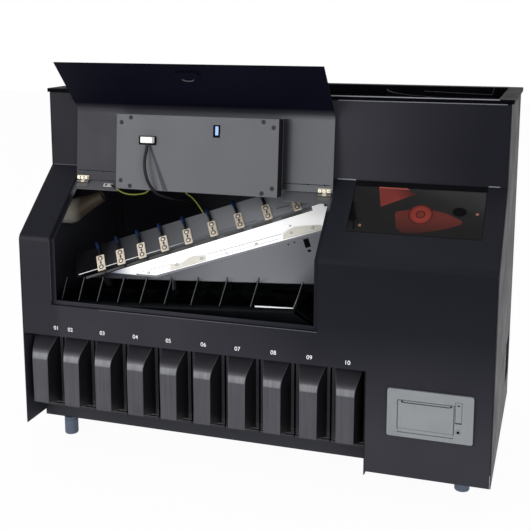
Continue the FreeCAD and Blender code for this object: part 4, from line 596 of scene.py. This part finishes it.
def shaped(name, build, body, finish, matrix=Matrix.Identity(4), limit=50):
    """A mesh piece from a function that fills a bmesh in metres, set down by a matrix."""
    shape = bmesh.new()
    build(shape)
    shape.transform(matrix)
    bmesh.ops.recalc_face_normals(shape, faces=shape.faces)
    mesh = bpy.data.meshes.new(name)
    shape.to_mesh(mesh)
    shape.free()
    thing = add_piece(name, mesh, body, finish)
    smooth(thing, limit)
    return thing


def slab(shape, x, y, z, rounding=0.0):
    """A box between two ends on each axis, in millimetres, with rounded edges."""
    made = bmesh.ops.create_cube(shape, size=1.0)
    size = Vector(((x[1] - x[0]) * MM, (y[1] - y[0]) * MM, (z[1] - z[0]) * MM))
    middle = Vector(((x[0] + x[1]) / 2 * MM, (y[0] + y[1]) / 2 * MM, (z[0] + z[1]) / 2 * MM))
    for vert in made["verts"]:
        vert.co = Vector((vert.co.x * size.x, vert.co.y * size.y, vert.co.z * size.z)) + middle
    if rounding:
        edges = list({edge for vert in made["verts"] for edge in vert.link_edges})
        bmesh.ops.bevel(shape, geom=edges, offset=rounding * MM, segments=2, profile=0.5, affect="EDGES")


def turned(shape, profile, centre=(0, 0, 0), steps=32):
    """A lathe form about z from (radius, height) pairs, in millimetres."""
    rings = []
    for radius, height in profile:
        ring = []
        for i in range(steps):
            angle = 2 * math.pi * i / steps
            ring.append(shape.verts.new((
                (centre[0] + radius * math.cos(angle)) * MM, (centre[1] + radius * math.sin(angle)) * MM,
                (centre[2] + height) * MM,
            )))
        rings.append(ring)
    for low, high in zip(rings, rings[1:]):
        for i in range(steps):
            j = (i + 1) % steps
            shape.faces.new((low[i], low[j], high[j], high[i]))
    shape.faces.new(rings[0][::-1])
    shape.faces.new(rings[-1])


def screw_head(shape, x, y, z, radius, rise):
    """A domed head with a cross recess, standing on z."""
    turned(shape, [
        (radius, 0), (radius, rise * 0.45), (radius * 0.86, rise * 0.8), (radius * 0.55, rise * 0.97),
        (radius * 0.30, rise), (radius * 0.24, rise * 0.55), (radius * 0.05, rise * 0.45),
    ], (x, y, z), 20)
    bar = radius * 0.13
    for wide, tall in ((radius * 0.52, bar), (bar, radius * 0.52)):
        slab(shape, (x - wide, x + wide), (y - tall, y + tall), (z + rise * 0.90, z + rise * 1.01))


def screw_heads(name, spots, radius, rise, body, finish, matrix):
    """Domed heads at (x, y, z) places of a plane."""

    def build(shape):
        for x, y, z in spots:
            screw_head(shape, x, y, z, radius, rise)

    return shaped(name, build, body, finish, matrix)


def plate(shape, outline, low, high):
    """A flat plate from an outline of (x, y) places, between two heights, in millimetres."""
    rings = [[shape.verts.new((x * MM, y * MM, z * MM)) for x, y in outline] for z in (low, high)]
    shape.faces.new(rings[0][::-1])
    shape.faces.new(rings[1])
    for i in range(len(outline)):
        j = (i + 1) % len(outline)
        shape.faces.new((rings[0][i], rings[0][j], rings[1][j], rings[1][i]))


def disc_outline(x, y, wide, tall, steps=36):
    return [
        (x + wide * math.cos(2 * math.pi * i / steps), y + tall * math.sin(2 * math.pi * i / steps))
        for i in range(steps)
    ]


def rounded_outline(x, y, radius, steps=5):
    """A rectangle between two ends on each axis, with rounded corners."""
    corners = [(x[1] - radius, y[1] - radius, 0), (x[0] + radius, y[1] - radius, 90),
               (x[0] + radius, y[0] + radius, 180), (x[1] - radius, y[0] + radius, 270)]
    outline = []
    for centre_x, centre_y, turn in corners:
        for i in range(steps + 1):
            angle = math.radians(turn + 90 * i / steps)
            outline.append((centre_x + radius * math.cos(angle), centre_y + radius * math.sin(angle)))
    return outline


def ring(shape, x, y, wide, tall, line, low, high):
    """A flat ring, round or oval, that many millimetres wide in its line."""
    outer = disc_outline(x, y, wide, tall)
    inner = disc_outline(x, y, wide - line, tall - line)
    rows = [
        [shape.verts.new((a * MM, b * MM, z * MM)) for a, b in edge]
        for z in (low, high) for edge in (outer, inner)
    ]
    low_out, low_in, high_out, high_in = rows
    for i in range(len(outer)):
        j = (i + 1) % len(outer)
        shape.faces.new((high_out[i], high_out[j], high_in[j], high_in[i]))
        shape.faces.new((low_in[i], low_in[j], low_out[j], low_out[i]))
        shape.faces.new((low_out[i], low_out[j], high_out[j], high_out[i]))
        shape.faces.new((high_in[i], high_in[j], low_in[j], low_in[i]))


def decal(name, outlines, height, body, finish, matrix):
    """Thin flat marks on a face, each from its outline."""

    def build(shape):
        for outline in outlines:
            plate(shape, outline, 0.02, height)

    return shaped(name, build, body, finish, matrix)


def strip_outline(start, end, width):
    """A straight strip of that width between two (x, y) places."""
    way = Vector((end[0] - start[0], end[1] - start[1])).normalized()
    side = Vector((-way.y, way.x)) * width / 2
    return [
        (start[0] + side.x, start[1] + side.y), (start[0] - side.x, start[1] - side.y),
        (end[0] - side.x, end[1] - side.y), (end[0] + side.x, end[1] + side.y),
    ]


def lead_curve(name, points, radius, finish):
    """A round lead's curve that runs smoothly along points given in metres."""
    curve = bpy.data.curves.new(name, "CURVE")
    curve.dimensions = "3D"
    curve.bevel_depth = radius * MM
    curve.bevel_resolution = 5
    curve.resolution_u = 10
    curve.use_fill_caps = True
    line = curve.splines.new("NURBS")
    line.points.add(len(points) - 1)
    for spot, point in zip(line.points, points):
        spot.co = (*point, 1.0)
    line.order_u = 3
    line.use_endpoint_u = True
    curve.materials.append(finish.material)
    return new_object(name, curve)


def lead(name, points, radius, body, finish):
    thing = lead_curve(name, points, radius, finish)
    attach(thing, body)
    return thing


def bending_lead(name, points, radius, finish):
    """A lead across the door's hinge, turned from a curve into a mesh."""
    thing = lead_curve(name + "_line", points, radius, finish)
    bpy.context.view_layer.update()
    mesh = bpy.data.meshes.new_from_object(thing.evaluated_get(bpy.context.evaluated_depsgraph_get()))
    bpy.data.objects.remove(thing)
    mesh.materials.clear()
    mesh.materials.append(finish.material)
    for face in mesh.polygons:
        face.use_smooth = True
    bent = new_object(name, mesh)
    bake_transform(bent)
    return bent


SLOT_OF = {part["node"]: part["material_slot"] for part in record["subparts"]}

# Edge rounding of each group of CAD pieces, in millimetres
ROUNDING = {
    0.35: ["sorter_plate", "solenoid_plate", "window_pane", "inner_frame", "display_screen",
           "printer_body", "coin_chutes", "control_board", "door_hinges", "frame_hinges"],
    0.5: ["front_cowl", "left_side_panel", "right_side_panel", "rear_cover", "base_pan", "service_door",
          "coin_rail", "printer_cover", "printer_lever", "power_inlet", "disc_housing", "dust_duct",
          "coin_disc", "paper_roll", "drawer_guides", "solenoid_coils", "disc_motor", "power_switch"],
    0.9: ["electronics_box", "printer_bezel", "printer_button", "top_tray", "usb_plug", "power_supply"],
}
# CAD pieces whose finish isn't the one of their slot
OWN_FINISH = {
    "front_cowl": COWL_PAINT, "right_side_panel": SIDE_PAINT, "service_door": DOOR_PAINT,
    "solenoid_plate": BRIDGE_PAINT, "inner_frame": INNER_FRAME_SHADE, "frame_hinges": HINGE_DARK,
    "door_hinges": HINGE_LEAF,
}


def dress_nodes():
    for width, nodes in ROUNDING.items():
        for node in nodes:
            softened(node, width, OWN_FINISH.get(node))
    for node, thing in frame["nodes"].items():
        finish = FINISHES[SLOT_OF[node]]
        thing.data.materials.clear()
        thing.data.materials.append(finish.material)
    for node in BODY_OF:
        if node in DRAWERS:
            softened(node, 1.3)


# Details on the case


NUMBER_PLACES = [
    (56.8, 155.7), (80.1, 155.2), (132.3, 155.5), (185.0, 155.3), (236.5, 155.1), (289.8, 155.2),
    (340.4, 154.5), (392.7, 154.8), (443.8, 153.7), (496.5, 152.2),
]


def drawer_numbers():
    """Plain white numbers over the drawers."""
    for i, (x, z) in enumerate(NUMBER_PLACES):
        curve = bpy.data.curves.new("drawer_number", "FONT")
        curve.body = "%02d" % (i + 1)
        curve.size = 8.4 * MM
        curve.extrude = 0.06 * MM
        curve.align_x = "CENTER"
        curve.align_y = "CENTER"
        curve.materials.append(LABEL_WHITE.material)
        thing = new_object("drawer_number_%02d" % (i + 1), curve)
        thing.matrix_world = Matrix.Translation(case(x, -0.12, z)) @ Matrix.Rotation(math.pi / 2, 4, "X")
        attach(thing, "case")


def case_feet():
    low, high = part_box("feet")
    tall = (high[2] - low[2]) / MM
    radius = 10.5
    profile = [
        (radius - 1.6, 0), (radius - 0.6, 0.5), (radius, 1.8), (radius, tall - 4),
        (radius - 0.8, tall - 3.6), (radius - 0.8, tall - 3), (radius, tall - 2.6), (radius, tall),
    ]

    def build(shape):
        for x in (low[0] / MM + radius, high[0] / MM - radius):
            for y in (low[1] / MM + radius, high[1] / MM - radius):
                turned(shape, profile, (x, y, low[2] / MM))

    thing = shaped("feet_turned", build, "case", FINISHES["foot_rubber"], limit=35)
    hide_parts("feet")


def edge_lines():
    """Thin highlights along bends and rims, where the photo shows them."""
    # Each line is a pale lead laid along an edge as a painted highlight.
    lines = [
        ("tray_rim_line", (443, 101.4, 500.6), (674, 101.4, 500.6), 0.75, EDGE_LIGHT, "tray_plastic"),
        ("cowl_top_line", (455, 103.9, 494.6), (684, 103.9, 494.6), 0.8, EDGE_LIGHT, "case_paint"),
        ("tray_back_line", (100, 334.5, 500.8), (672, 334.5, 500.8), 1.0, EDGE_GREY, "tray_plastic"),
        ("tray_wall_line", (541.4, 333.8, 491.9), (646.5, 333.8, 488.8), 0.5, EDGE_DIM, "tray_plastic"),
        ("tray_wall_end", (646.5, 333.8, 488.8), (649.5, 333.8, 499), 0.5, EDGE_DIM, "tray_plastic"),
        ("slope_line_left", (455, 104.2, 383.3), (482, 104.2, 383.3), 0.9, EDGE_LIGHT, "case_paint"),
        ("slope_line_right", (664, 104.2, 383.3), (679, 104.2, 383.3), 0.8, EDGE_LIGHT, "case_paint"),
        ("slope_line_door", (4, 104.2, 383.3), (48, 104.2, 383.3), 0.6, EDGE_GREY, "case_paint"),
        ("opening_line", (128, -0.05, 190.3), (454, -0.05, 190.3), 0.5, EDGE_GREY, "case_paint"),
        ("opening_side_line", (50.5, -0.1, 198), (50.5, -0.1, 288), 0.5, EDGE_DIM, "case_paint"),
    ]
    for name, start, end, radius, finish, slot_name in lines:
        lead(name, [case(*start), case(*end)], radius, "case", finish)


def chute_edges():
    """Pale front edges of the dividers, and the pale lip of the reject chute."""
    for i, x in enumerate(FIN_PLACES):
        share = (x - FIN_PLACES[1]) / 361.3
        foot = case(x, 20.9, 192.4 + 21.6 * share)
        tip = case(x + 6.2, 28.9 + 15 * share, 226.4 + 25 * share)
        lead("divider_edge_%02d" % (i + 1), [foot, tip], 0.45, "case", EDGE_GREY)
    lip = [case(357.9, 25.5, 210.0), case(385, 25.5, 211.2), case(413.4, 25.5, 212.0)]
    lead("reject_lip", lip, 1.3, "case", LIP_WHITE)
    side = [case(413.4, 25.5, 212.0), case(417.5, 31, 224), case(419, 38, 233), case(421.5, 43.5, 244)]
    lead("reject_side", side, 0.7, "case", EDGE_LIGHT)


def on_track(name, outlines, height, finish, level=0):
    """Flat marks at a height over the sorter plate."""
    decal(name, outlines, height, "case", finish, raised(TRACK, level))


def rail_details():
    """The rail's cover strips, screws, dowel hole and fine lines, and the marks of its two plates."""
    covers = [
        [(89.2, -32.6), (90.9, -22.2), (107, -26.3), (114, -23.4), (119, -20.6), (127.5, -20.4),
         (143.5, -25.2), (141.9, -34.4)],
        [(258.6, -38.8), (260.9, -29.8), (266, -27.0), (272, -24.7), (281, -23.4), (296, -27.6),
         (313.3, -32.4), (317.2, -35.4), (315.4, -41.6)],
    ]

    def build_covers(shape):
        for outline in covers:
            plate(shape, outline, 6.35, COVER_FACE)

    clear_strip = FINISHES["strip_plastic"]
    made = shaped("rail_cover_plates", build_covers, "case", clear_strip, TRACK)
    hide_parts("rail_covers")
    spots = [
        (57.2, -24.5, RAIL_FACE), (100.1, -26.6, COVER_FACE), (137.5, -29.4, COVER_FACE),
        (219.4, -31.4, RAIL_FACE), (272.5, -32.4, COVER_FACE), (304.5, -35.2, COVER_FACE),
    ]

    def build_rings(shape):
        for r, q, z in spots:
            ring(shape, r, q, 2.3, 2.3, 0.5, z + 0.02, z + 0.25)
            ring(shape, r, q, 0.9, 0.9, 0.5, z + 0.02, z + 0.3)

    shaped("rail_screw_rings", build_rings, "case", SCREW_SHADE, TRACK)
    screw_heads("rail_screws", spots, 2.0, 0.6, "case", SCREW_RIM, TRACK)
    dowel = disc_outline(274.2, -15.5, 1.3, 1.3)
    on_track("rail_dowel_hole", [dowel], 0.15, SLOT_BLACK, DOWEL_FACE)
    lines = [
        strip_outline((40, -19.4), (90, -21.4), 0.6), strip_outline((144, -23.2), (259, -28.0), 0.6),
        strip_outline((60, -26.0), (88, -27.2), 0.5), strip_outline((146, -31.0), (256, -35.0), 0.5),
        strip_outline((173, -24.8), (176, -36.2), 0.5),
    ]
    on_track("rail_ledge_lines", lines, 0.2, EDGE_LIGHT, RAIL_FACE)
    # A pale lead along the bridge plate's lower edge, as a painted highlight.
    edge = on_plane(TRACK, [(r, 9.0, 8.4) for r in (-46, 90, 230)])
    lead("bridge_edge_line", edge, 0.5, "case", BRIGHT_EDGE)
    holes = ((263.8, -44.7, 1.3), (273.0, -44.6, 1.3), (300.3, -72.9, 1.5))
    dots = [disc_outline(x, y, radius, radius) for x, y, radius in holes]
    on_track("plate_holes", dots, 0.12, SLOT_BLACK)
    slots = [
        strip_outline((262.0, 19.6), (282.0, 18.2), 1.0), strip_outline((300.0, 18.0), (318.0, 16.8), 1.2),
    ]
    on_track("bridge_slot", slots, 0.12, SLOT_BLACK, BRIDGE_FACE)


def bracket_details():
    """The solenoid brackets with raised rims, two screws each, and the leads over the plate's edge.

    The leads bend more smoothly than the four points of each solid lead, and lie lower behind.
    """
    top = BRACKET_FACE
    zinc = FINISHES["bracket_zinc"]
    spots = [(run, q, top) for run in SOLENOID_RUNS for q in (10, 26)]

    def build_plates(shape):
        for run in SOLENOID_RUNS:
            plate(shape, rounded_outline((run - 6, run + 6), (4, 32), 1.6), BRIDGE_FACE, top - 0.4)
            plate(shape, rounded_outline((run - 5.3, run + 5.3), (4.7, 31.3), 1.4), top - 0.4, top)

    def build_recesses(shape):
        for run in SOLENOID_RUNS:
            for q in (10, 26):
                ring(shape, run, q, 3.6, 4.2, 1.5, top + 0.02, top + 0.12)
            plate(shape, rounded_outline((run - 1.2, run + 1.2), (15.2, 20.8), 0.6), top + 0.02, top + 0.12)

    made = shaped("bracket_plates", build_plates, "case", zinc, TRACK)
    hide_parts("solenoid_brackets")
    shaped("bracket_recesses", build_recesses, "case", SCREW_SHADE, TRACK)
    heads = screw_heads("bracket_screws", spots, 2.3, 1.0, "case", zinc, TRACK)
    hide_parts("case_screws")
    first = None
    for i, run in enumerate(SOLENOID_RUNS):
        path = [(run, 32.3, 10.1), (run, 38, 10.2), (run - 0.5, 44, 10.1), (run - 1, 50, 10.1)]
        number = "%02d" % (i + 1)
        black = lead("solenoid_lead_" + number, on_plane(TRACK, path), 2.3, "case", RUBBER)
        first = first or black
        path = [
            (run - 0.6, 43, 10.1), (run - 1.4, 49, 10.2), (run - 3, 55, 10.1), (run - 3, 57.6, 8.0),
            (run - 1, 57.6, 0), (run, 57.6, -13), (run, 52, -15), (run, 17, -15),
        ]
        lead("solenoid_sleeve_" + number, on_plane(TRACK, path), 2.6, "case", BLUE_SLEEVE)
    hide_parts("case_wiring")


# Routes of the loose leads, with the same points as in the part's source
CASE_CABLE = [
    (214.1, 106.5, 337.8), (216, 120, 336), (216, 160, 322), (212, 210, 290), (206, 245, 240),
    (200, 265, 200), (200, 272, 178),
]
DOOR_CABLE = [
    (180, 66, 427.7), (179.6, 65.2, 421), (178.5, 62, 412), (178, 58, 400), (180, 56, 386), (185, 56, 370),
    (194, 61, 354.5), (205, 76, 347.5), (212, 92, 342), (214, 106, 338),
]
EARTH_FROM_LUG = [
    (122.5, 77.2, 355.4), (128, 74.8, 353.1), (138, 73.5, 349.5), (150, 73.5, 348.5), (162, 76, 349.5),
    (171, 79.3, 351.5), (174, 80, 355.8),
]
EARTH_FROM_PLATE = [
    (231, 84, 355.6), (232, 86, 352), (235, 99, 345.5), (241, 110.5, 331.5), (246, 118.3, 317.1),
]


def loose_leads():
    """The door's cable and two earth leads across the hinge, the cable inside and the earth lug."""
    cable, from_lug, from_plate, inside = (
        [case(*point) for point in route]
        for route in (DOOR_CABLE, EARTH_FROM_LUG, EARTH_FROM_PLATE, CASE_CABLE)
    )
    made = bending_lead("door_cable", cable, 2.3, RUBBER)
    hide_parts("door_leads")
    for name, line in (("earth_lead_left", from_lug[::-1]), ("earth_lead_right", from_plate)):
        bending_lead(name, line, 1.1, EARTH_GREEN)
    lead("case_cable", inside, 2.0, "case", RUBBER)

    def build_lug(shape):
        slab(shape, (98.2, 112.5), (104.5, 110.7), (-5.0, -4.2), 0.3)

    shaped("earth_lug", build_lug, "case", LUG_GREY, WINDOW)
    sleeve = on_plane(WINDOW, [(110.5, 107.6, -3.8), (117, 104.5, -3.6)])
    lead("earth_lug_sleeve", [*sleeve, from_lug[0]], 1.2, "case", RUBBER)
    hole = [disc_outline(102.6, 107.6, 2.0, 2.0)]
    decal("earth_lug_hole", hole, 0.15, "case", SCREW_SHADE, raised(WINDOW, -4.2))


def door_details():
    """Screws, port, slot, seams and painted shadows inside the open door, its pull and hinge domes."""
    screws = [
        (136, 98.1, 0), (151, 105.6, 0), (136, 12.6, 0), (151, 5.0, 0),
        (370, 98.1, 0), (355, 105.6, 0), (370, 12.6, 0), (355, 5.0, 0),
    ]

    def build_rings(shape):
        for x, up, _ in screws:
            ring(shape, x, up, 3.1, 3.1, 0.5, 0.02, 0.15)
            turned(shape, [(1.0, 0.9), (1.0, 1.04)], (x, up, 0), 6)

    heads = screw_heads("box_screw_heads", screws, 2.6, 1.0, "door", SCREW_SHADE, BOX_FACE)
    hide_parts("box_screws")
    shaped("box_screw_rings", build_rings, "door", SLOT_BLACK, BOX_FACE)
    marks = [
        ("plug_slot", rounded_outline((164.5, 192.5), (66.5, 79.5), 1), 0.15, SLOT_BLACK, "box_paint"),
        ("cable_shadow", [(181, 65.5), (184, 65.5), (212, 0.8), (204, 0.8)], 0.08, EDGE_DIM, "box_paint"),
        ("port_frame", rounded_outline((280, 290.5), (81, 99), 0.8), 0.15, SLOT_BLACK, "box_paint"),
        ("port_tongue", rounded_outline((283.5, 288), (84.5, 97), 0.6), 0.5, PORT_BLUE, "plug_plastic"),
    ]
    for name, outline, height, finish, slot_name in marks:
        decal(name, [outline], height, "door", finish, BOX_FACE)
    seams = [strip_outline((54, 14.0), (127, 13.4), 0.7), strip_outline((379, 10.4), (449, 10.4), 0.9)]
    for x, up in ((70.1, 14.0), (95.4, 13.7), (416, 10.4), (441, 10.4)):
        seams.append(disc_outline(x, up, 1.3, 1.0))
    sheet_marks = [
        ("door_seams", seams, 0.12, SLOT_BLACK),
        ("box_seam", [strip_outline((127.4, 0), (127.4, 103), 0.6)], 0.1, SLOT_BLACK),
        ("box_shadow", [rounded_outline((378.4, 393), (1, 103), 0.5)], 0.08, BOX_SHADOW),
    ]
    for name, outlines, height, finish in sheet_marks:
        decal(name, outlines, height, "door", finish, SHEET)

    def build_pull(shape):
        ring(shape, 252, 64.5, 9.5, 4.6, 0.7, 0.05, 1.5)
        ring(shape, 253, 63.4, 8.0, 3.6, 0.6, 0.05, 1.3)

    shaped("door_pull_rings", build_pull, "door", EDGE_GREY, LIP)

    spots = [(left + x, 2.6) for left in (53.5, 431.5) for x in (3.4, 9.5, 15.6)]

    def build_domes(shape):
        for x, up in spots:
            turned(shape, [(2.3, 0), (2.2, 0.15), (1.6, 0.3)], (x, up, 4.4), 20)

    shaped("hinge_domes", build_domes, "door", FINISHES["hinge_metal"], SHEET)
    decal("hinge_dome_marks", [disc_outline(x, up, 0.8, 0.8) for x, up in spots], 0.06, "door", SCREW_SHADE,
          raised(SHEET, 4.7))


def window_details():
    """Seen through the dark red window: feed wedge, hub, plate, hole, two screws and a painted shadow."""
    wedge = [(516.8, 126.0), (556, 125.6), (570, 120), (524.0, 94.5)]
    line = [(516.8, 128.9), (555.3, 128.7), (560, 126.2), (517, 126.4)]
    lens = [
        (545.0, 84.2), (546.8, 88.0), (565.3, 92.9), (592.0, 94.1), (612.8, 90.0), (635.7, 78.3),
        (633.3, 72.3), (615.8, 64.6), (601.0, 59.8), (576.9, 54.2), (558.3, 53.1), (549.5, 60.5),
    ]
    wedge_red = seen_red(
        "wedge_red", (0.135, 0.024, 0.020), (0.0125, 0.0085, 0.0080),
        WINDOW @ Vector((0.545, 0.110, 0)), WINDOW @ Vector((0.572, 0.124, 0)),
    )
    lens_red = seen_red(
        "lens_red", (0.082, 0.017, 0.014), (0.028, 0.009, 0.008),
        WINDOW @ Vector((0, 0.082, 0)), WINDOW @ Vector((0, 0.054, 0)),
    )
    hub = (579.3, 85.5)

    def mark(name, outlines, height, finish):
        decal(name, outlines, height, "case", finish, WINDOW)

    mark("feed_wedge", [wedge], 0.12, wedge_red)
    mark("feed_wedge_line", [line], 0.14, WEDGE_LINE)
    mark("hub_plate", [lens], 0.12, lens_red)
    mark("hub_shade", [disc_outline(*hub, 16.6, 16.6)], 0.16, HUB_DARK)
    mark("hub_face", [disc_outline(*hub, 14.6, 14.6)], 0.22, HUB_RED)

    def build_rings(shape):
        for radius, line_width in ((13.4, 0.5), (6.4, 2.0), (2.8, 1.0)):
            ring(shape, *hub, radius, radius, line_width, 0.20, 0.27)

    shaped("hub_rings", build_rings, "case", HUB_DARK, WINDOW)
    # A black band as painted shadow along the window's top; the plate's hole is drawn with it.
    band = [(483.6, 138.4), (483.6, 128.4), (662.4, 128.6), (662.4, 138.4)]
    left_edge = [(483.6, 100), (492, 54), (494, 54), (486.5, 100)]
    mark("window_top_shadow_and_hole", [band, disc_outline(630.3, 93.4, 9.3, 7.4)], 0.1, SLOT_BLACK)
    mark("window_fold", [left_edge], 0.1, SLOT_BLACK)

    def build_heads(shape):
        for x, up in ((500.3, 61.5), (653.5, 91.5)):
            turned(shape, [(2.2, 0), (2.2, 0.25), (1.8, 0.6), (0.8, 0.8), (0.6, 0.5)], (x, up, 0), 24)

    shaped("window_screws", build_heads, "case", TRIM_ORANGE, WINDOW)


def printer_details():
    """Fine outlines and marks of the printer's face."""
    face, button = (
        plane_matrix(case(0, front, 0), (0, 0, 1), (0, -1, 0)) for front in (PRINTER_FRONT, BUTTON_FRONT)
    )
    left, right, low, high = 565.6, 640.4, 71.0, 110.0
    outline = [
        strip_outline((left, high), (right, high), 0.6), strip_outline((left, low), (right, low), 0.5),
        strip_outline((left, low), (left, high), 0.4), strip_outline((right, low), (right, high), 0.5),
    ]
    dots = [disc_outline(x, 108.6, 1.4, 1.2) for x in (571.8, 635.8)]
    foot = [strip_outline((641.9, 87.6), (649.8, 87.6), 1.2), disc_outline(645.8, 111.5, 2.0, 1.2)]
    dot = [disc_outline(646.0, 75.3, 2.0, 2.0)]
    marks = [
        ("printer_slot_lines", outline, 0.1, "printer_cover", PRINT_LINE, face),
        ("printer_slot_dots", dots, 0.16, "printer_cover", SLOT_BLACK, face),
        ("printer_lever_marks", foot, 0.1, "printer_lever", SCREW_SHADE, face),
        ("printer_button_dot", dot, 0.04, "printer_button", SLOT_BLACK, button),
    ]
    for name, outlines, height, body, finish, plane in marks:
        decal(name, outlines, height, body, finish, plane)


def drawer_details():
    """Painted highlights on the pulls' lower edges and pale glints at the corners of the drawers' fronts."""
    for node in DRAWERS:
        left, right = ((corner[0] - shell_left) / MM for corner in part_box(node))

        def build(shape):
            slab(shape, (left + 12.9, right - 12.9), (-2.25, -1.9), (37.1, 37.7), 0.1)
            for start in (left + 0.4, right - 5.4):
                slab(shape, (start, start + 5), (24.4, 25.2), (36.2, 37.0), 0.2)

        corner = Matrix.Translation(case(0, 0, 0))
        shaped(node + "_edges", build, BODY_OF[node], EDGE_GREY, corner)


def rear_details():
    """Screws along the top and bottom of the rear cover."""
    low, high = (Vector(corner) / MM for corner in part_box("rear_cover"))
    back = plane_matrix(Vector((0, high.y * MM, 0)), (0, 0, 1), (0, 1, 0))
    wide = high.x - low.x - 24
    spots = [(low.x + 12 + wide * i / 4, up, 0) for i in range(5) for up in (low.z + 9, high.z - 14)]

    def build_rings(shape):
        for x, up, _ in spots:
            ring(shape, x, up, 3.8, 3.8, 0.7, 0.02, 0.12)

    screw_heads("rear_screws", spots, 3.0, 1.2, "case", FINISHES["screw_steel"], back)
    shaped("rear_screw_rings", build_rings, "case", SLOT_BLACK, back)


# Stage


FLOOR_HALF = 6.0
FLOOR_SHADE = 0.92
GLOW_SHARE = 0.96
WORLD_STRENGTH = 0.55
# Name, place and size in metres, and power in watts
LAMPS = [
    ("key_lamp", (-1.8, -2.6, 1.1), 1.8, 62),
    ("fill_lamp", (2.0, -2.4, 0.9), 1.8, 42),
    ("top_lamp", (0.2, 0.6, 2.6), 1.8, 16),
]


def studio():
    """White floor and world, and soft lamps."""
    floor_mesh = bpy.data.meshes.new("floor")
    half = FLOOR_HALF
    corners = [(-half, -half, 0), (half, -half, 0), (half, half, 0), (-half, half, 0)]
    floor_mesh.from_pydata(corners, [], [(0, 1, 2, 3)])
    floor = new_object("floor", floor_mesh)
    floor_mesh.materials.append(floor_paint())
    world = bpy.data.worlds.new("studio")
    bpy.context.scene.world = world
    world.use_nodes = True
    tree = world.node_tree
    tree.nodes.clear()
    out = tree.nodes.new("ShaderNodeOutputWorld")
    seen = tree.nodes.new("ShaderNodeBackground")
    seen.inputs["Color"].default_value = (1, 1, 1, 1)
    lit = tree.nodes.new("ShaderNodeBackground")
    lit.inputs["Color"].default_value = (0.95, 0.97, 1.0, 1)
    lit.inputs["Strength"].default_value = WORLD_STRENGTH
    mix = tree.nodes.new("ShaderNodeMixShader")
    tree.links.new(visible_rays(tree), mix.inputs["Fac"])
    tree.links.new(lit.outputs["Background"], mix.inputs[1])
    tree.links.new(seen.outputs["Background"], mix.inputs[2])
    tree.links.new(mix.outputs["Shader"], out.inputs["Surface"])
    for name, place, size, power in LAMPS:
        light = bpy.data.lights.new(name, "AREA")
        light.size = size
        light.energy = power
        lamp = new_object(name, light)
        lamp.location = place
        aim = Vector((0, 0, 0.25)) - Vector(place)
        lamp.rotation_euler = aim.to_track_quat("-Z", "Y").to_euler()


def visible_rays(tree):
    """One for rays that show the background: camera, glossy and transmission rays."""
    path = tree.nodes.new("ShaderNodeLightPath")
    total = path.outputs["Is Camera Ray"]
    for name in ("Is Glossy Ray", "Is Transmission Ray"):
        larger = tree.nodes.new("ShaderNodeMath")
        larger.operation = "MAXIMUM"
        tree.links.new(total, larger.inputs[0])
        tree.links.new(path.outputs[name], larger.inputs[1])
        total = larger.outputs[0]
    return total


def floor_paint():
    """A white floor that keeps the shadow and glows a little for rays that see it."""
    material = bpy.data.materials.new("floor_paint")
    material.use_nodes = True
    tree = material.node_tree
    shader = tree.nodes["Principled BSDF"]
    shader.inputs["Base Color"].default_value = (FLOOR_SHADE, FLOOR_SHADE, FLOOR_SHADE, 1)
    shader.inputs["Roughness"].default_value = 0.55
    glow = tree.nodes.new("ShaderNodeEmission")
    mix = tree.nodes.new("ShaderNodeMixShader")
    share = tree.nodes.new("ShaderNodeMath")
    share.operation = "MULTIPLY"
    share.inputs[1].default_value = GLOW_SHARE
    tree.links.new(visible_rays(tree), share.inputs[0])
    tree.links.new(share.outputs[0], mix.inputs["Fac"])
    tree.links.new(shader.outputs["BSDF"], mix.inputs[1])
    tree.links.new(glow.outputs["Emission"], mix.inputs[2])
    tree.links.new(mix.outputs["Shader"], tree.nodes["Material Output"].inputs["Surface"])
    return material


# Camera, from the fit to the photo's edges: focal length and centre in pixels, angles in radians
# and its place in the case's millimetres
FOCAL = 946.78
CENTRE_HIGH = 185
PHOTO_SIZE = 530
YAW = 0.3084
PITCH = 0.1765
CAMERA_PLACE = (757.9, -1184.0, 609.7)


def make_camera():
    data = bpy.data.cameras.new("camera")
    data.sensor_width = 36
    data.lens = FOCAL * data.sensor_width / PHOTO_SIZE
    data.shift_y = (CENTRE_HIGH - PHOTO_SIZE / 2) / PHOTO_SIZE
    data.clip_end = 30
    forward = Vector((-math.sin(YAW) * math.cos(PITCH), math.cos(YAW) * math.cos(PITCH), -math.sin(PITCH)))
    right = Vector((math.cos(YAW), math.sin(YAW), 0))
    up = right.cross(forward)
    turn = Matrix((right, up, -forward)).transposed().to_4x4()
    thing = new_object("camera", data)
    thing.matrix_world = Matrix.Translation(case(*CAMERA_PLACE)) @ turn
    bpy.context.scene.camera = thing


dress_nodes()
drawer_numbers()
case_feet()
edge_lines()
chute_edges()
rail_details()
bracket_details()
loose_leads()
door_details()
window_details()
printer_details()
drawer_details()
rear_details()
studio()
make_camera()
bpy.context.scene.view_settings.view_transform = "Standard"
